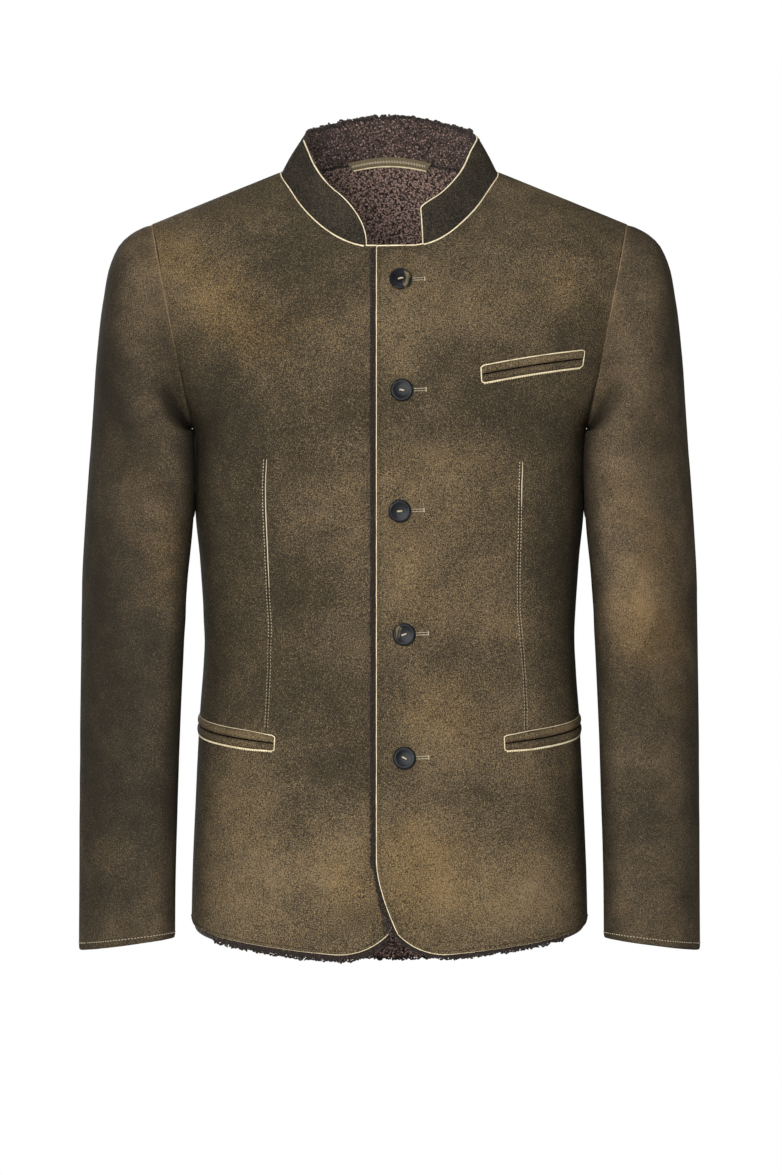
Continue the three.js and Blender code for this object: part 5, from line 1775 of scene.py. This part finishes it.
class JACKET_OT_buttons(bpy.types.Operator):
    """Turn the horn buttons, sew them on and work their buttonholes"""

    bl_idname = "jacket.buttons"
    bl_label = "Buttons"

    def execute(self, context):
        sizes = context.scene.jacket_sizes
        disc = self.disc(sizes.button_radius / MM)
        for number, (x, z) in enumerate(BUTTONS, 1):
            centre, normal = on_front(np.array([float(x)]), np.array([float(z)]), 1, BUTTON_LIFT)
            normal = Vector(normal[0]).normalized()
            across = Vector((0, 0, 1)).cross(normal).normalized()
            turn = Matrix.Rotation(math.radians(BUTTON_TURNS[number - 1]), 3, "Z")
            basis = Matrix((across, normal.cross(across), normal)).transposed() @ turn
            place = Matrix.Translation(Vector(centre[0]) * MM) @ basis.to_4x4()
            button = linked(f"horn_button_{number}", disc.copy())
            button.data.transform(place)
            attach(button, "root")
            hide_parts(f"button_{number}")
            self.thread(number, place)
            self.buttonhole(number, x, z)
        bpy.data.meshes.remove(disc)
        return {"FINISHED"}

    def disc(self, radius):
        """A dished disc with a rounded rim and two sewing holes."""
        profile = [(0, 0), (radius * 0.6, 0), (radius - 1.5, 0.05), (radius - 0.6, 0.45), (radius - 0.12, 1.1)]
        profile += [(radius, 1.7), (radius - 0.1, 2.35), (radius - 0.5, 2.95), (radius - 1.1, 3.3)]
        profile += [(radius - 1.7, BUTTON_THICKNESS), (radius - 2.4, 3.36), (radius - 3.3, 3.18)]
        profile += [(radius - 4.4, 2.92), (radius * 0.34, 2.72), (0, 2.66)]
        sides = 72
        turns = round_turns(sides)
        rings = np.array([[(r * math.cos(a), r * math.sin(a), h) for a in turns] for r, h in profile[1:-1]])
        count = len(rings)
        points = np.concatenate([[(0, 0, profile[0][1])], rings.reshape(-1, 3), [(0, 0, profile[-1][1])]])
        index = 1 + np.arange(count * sides).reshape(count, sides)
        beside = np.roll(index, -1, axis=1)
        quads = np.stack([index[:-1], beside[:-1], beside[1:], index[1:]], axis=-1).reshape(-1, 4)
        low = np.stack([np.zeros(sides, int), beside[0], index[0]], axis=1)
        high = np.stack([np.full(sides, len(points) - 1), index[-1], beside[-1]], axis=1)
        mesh = bpy.data.meshes.new("horn_disc")
        mesh.from_pydata((points * MM).tolist(), [], quads.tolist() + low.tolist() + high.tolist())
        return self.drilled(mesh)

    def drilled(self, mesh):
        """The mesh with its sewing holes cut and its finish on."""
        holed = linked("horn_disc", mesh)
        drills = []
        for side in (-1, 1):
            bpy.ops.mesh.primitive_cylinder_add(
                vertices=20, radius=HOLE_RADIUS * MM, depth=0.02, location=(side * HOLE_SPACING / 2 * MM, 0, 0),
            )
            drills.append(bpy.context.object)
            cut = holed.modifiers.new("hole", "BOOLEAN")
            cut.object, cut.operation, cut.solver = drills[-1], "DIFFERENCE", "EXACT"
        bpy.context.view_layer.update()
        evaluated = holed.evaluated_get(bpy.context.evaluated_depsgraph_get())
        result = bpy.data.meshes.new_from_object(evaluated)
        for drill in drills:
            bpy.data.objects.remove(drill)
        bpy.data.objects.remove(holed)
        result.materials.clear()
        result.materials.append(finish_of("horn"))
        result.shade_smooth()
        result.set_sharp_from_angle(angle=math.radians(50))
        return result

    def thread(self, number, place):
        """Strands through the two holes, and the shank under the button."""
        shape = Shape()
        for strand in (-0.42, 0.0, 0.42):
            t = np.linspace(0, math.pi, 11)
            line = np.stack([
                HOLE_SPACING / 2 * 1.05 * np.cos(t), np.full(11, strand), 1.8 + 1.1 * np.sin(t) ** 0.6,
            ], axis=1)
            shape.add(*tube(line, 0.27, np.tile([0.0, 1.0, 0.0], (11, 1)), 6))
        shank = np.stack([np.zeros(4), np.zeros(4), np.linspace(-BUTTON_LIFT - 0.2, 0.1, 4)], axis=1)
        shape.add(*tube(shank, 1.9, np.tile([1.0, 0.0, 0.0], (4, 1)), 12))
        piece = shape.build(f"horn_button_{number}_thread", "tape", "thread")
        piece.data.transform(place)

    def buttonhole(self, number, x, z):
        """Whipped stitches along both lips of the hole, with a bar at its end."""
        start, end = x + 7.5, x + 21.5
        across = np.linspace(start, end, 12)
        rise = z + 0.3 + 0.04 * (across - start)
        shape = Shape()
        template = bead(5, 3, 1.5, 0.46)
        for offset in (0.95, -0.95):
            points, normals = on_front(across, rise + offset, 1, 0.2)
            lean = np.tile([0.35, 0.0, 1.0], (len(points), 1))
            add_copies(shape, template, points, unit(lean), normals)
        bar_z = np.linspace(-2.0, 2.0, 7)
        points, normals = on_front(np.full(7, end + 0.6), z + 0.9 + bar_z, 1, 0.3)
        shape.add(*tube(points, 0.42, normals, 6))
        points, normals = on_front(across, rise, 1, 0.05)
        shape.build(f"buttonhole_{number}_stitches", "suede_body", "thread")
        # A dark cord along the hole: painted shade inside the slit.
        slit = Shape()
        slit.add(*tube(points, 0.3, normals, 6, flatness=0.6))
        slit.build(f"buttonhole_{number}_slit", "suede_body", "slit")


class JACKET_OT_stage(bpy.types.Operator):
    """Set the floor, lights and camera"""

    bl_idname = "jacket.stage"
    bl_label = "Stage"

    def execute(self, context):
        stage = context.scene.jacket_stage
        self.floor(stage)
        self.world(context, stage)
        self.light("key", (-0.7, -4.4, 0.25), 2.6, stage.key_power)
        self.light("left_side", (-3.4, -2.2, 0.2), 1.8, stage.side_power)
        self.light("right_side", (3.4, -2.2, 0.2), 1.8, stage.side_power)
        self.light("above", (0.0, -0.6, 2.6), 2.0, stage.top_power)
        self.light("behind", (-1.4, 4.6, 0.9), 2.6, stage.back_power)
        camera_data = bpy.data.cameras.new("camera")
        camera_data.lens = stage.lens
        camera = linked("camera", camera_data)
        camera.location = (0.0014, -8.0, -0.3767)
        camera.rotation_euler = (math.pi / 2, 0, 0)
        context.scene.camera = camera
        context.scene.view_settings.view_transform = "Standard"
        context.scene.view_settings.look = "None"
        return {"FINISHED"}

    def floor(self, stage):
        sides, radius = 96, 3.0
        turns = round_turns(sides)
        rim = np.stack([radius * np.cos(turns), radius * np.sin(turns), np.zeros(sides)], axis=1)
        mesh = bpy.data.meshes.new("floor")
        mesh.from_pydata(rim.tolist(), [], [list(range(sides))])
        mesh.materials.append(finish_of("floor"))
        floor = linked("floor", mesh)
        floor.location = (0, 0, stage.floor_level)

    def world(self, context, stage):
        world = bpy.data.worlds.new("studio")
        world.use_nodes = True
        tree = world.node_tree
        tree.nodes.clear()
        path = tree.nodes.new("ShaderNodeLightPath")
        either = tree.nodes.new("ShaderNodeMixShader")
        output = tree.nodes.new("ShaderNodeOutputWorld")
        tree.links.new(path.outputs["Is Camera Ray"], either.inputs[0])
        for socket, strength in ((1, stage.ambient), (2, 1.0)):
            background = tree.nodes.new("ShaderNodeBackground")
            background.inputs["Color"].default_value = (1, 1, 1, 1)
            background.inputs["Strength"].default_value = strength
            tree.links.new(background.outputs[0], either.inputs[socket])
        tree.links.new(either.outputs[0], output.inputs["Surface"])
        context.scene.world = world

    def light(self, name, place, size, power):
        data = bpy.data.lights.new(name, "AREA")
        data.shape, data.size, data.energy = "DISK", size, power
        lamp = linked(name, data)
        lamp.location = place
        aim = Vector((0, 0, -0.35)) - Vector(place)
        lamp.rotation_euler = aim.to_track_quat("-Z", "Y").to_euler()


class JACKET_PT_panel(bpy.types.Panel):
    """Lists the jacket's pieces"""

    bl_idname = "JACKET_PT_panel"
    bl_label = "Jacket"
    bl_space_type = "VIEW_3D"
    bl_region_type = "UI"
    bl_category = "Jacket"

    def draw(self, context):
        for operator in OPERATORS:
            self.layout.operator(operator.bl_idname)
        for group in (context.scene.jacket_sizes, context.scene.jacket_colours, context.scene.jacket_stage):
            box = self.layout.box()
            for name in group.__annotations__:
                box.prop(group, name)


OPERATORS = (
    JACKET_OT_fronts, JACKET_OT_back, JACKET_OT_sleeves, JACKET_OT_collar, JACKET_OT_shearling,
    JACKET_OT_neck_tape, JACKET_OT_pockets, JACKET_OT_buttons, JACKET_OT_stage,
)
GROUPS = {"jacket_sizes": JacketSizes, "jacket_colours": JacketColours, "jacket_stage": JacketStage}


def register():
    for kind in (*GROUPS.values(), *OPERATORS, JACKET_PT_panel):
        bpy.utils.register_class(kind)
    for name, group in GROUPS.items():
        setattr(bpy.types.Scene, name, PointerProperty(type=group))


def unregister():
    for name in GROUPS:
        delattr(bpy.types.Scene, name)
    for kind in reversed((*GROUPS.values(), *OPERATORS, JACKET_PT_panel)):
        bpy.utils.unregister_class(kind)


def main():
    register()
    for operator in OPERATORS:
        group, name = operator.bl_idname.split(".")
        getattr(getattr(bpy.ops, group), name)()


if __name__ == "__main__":
    main()
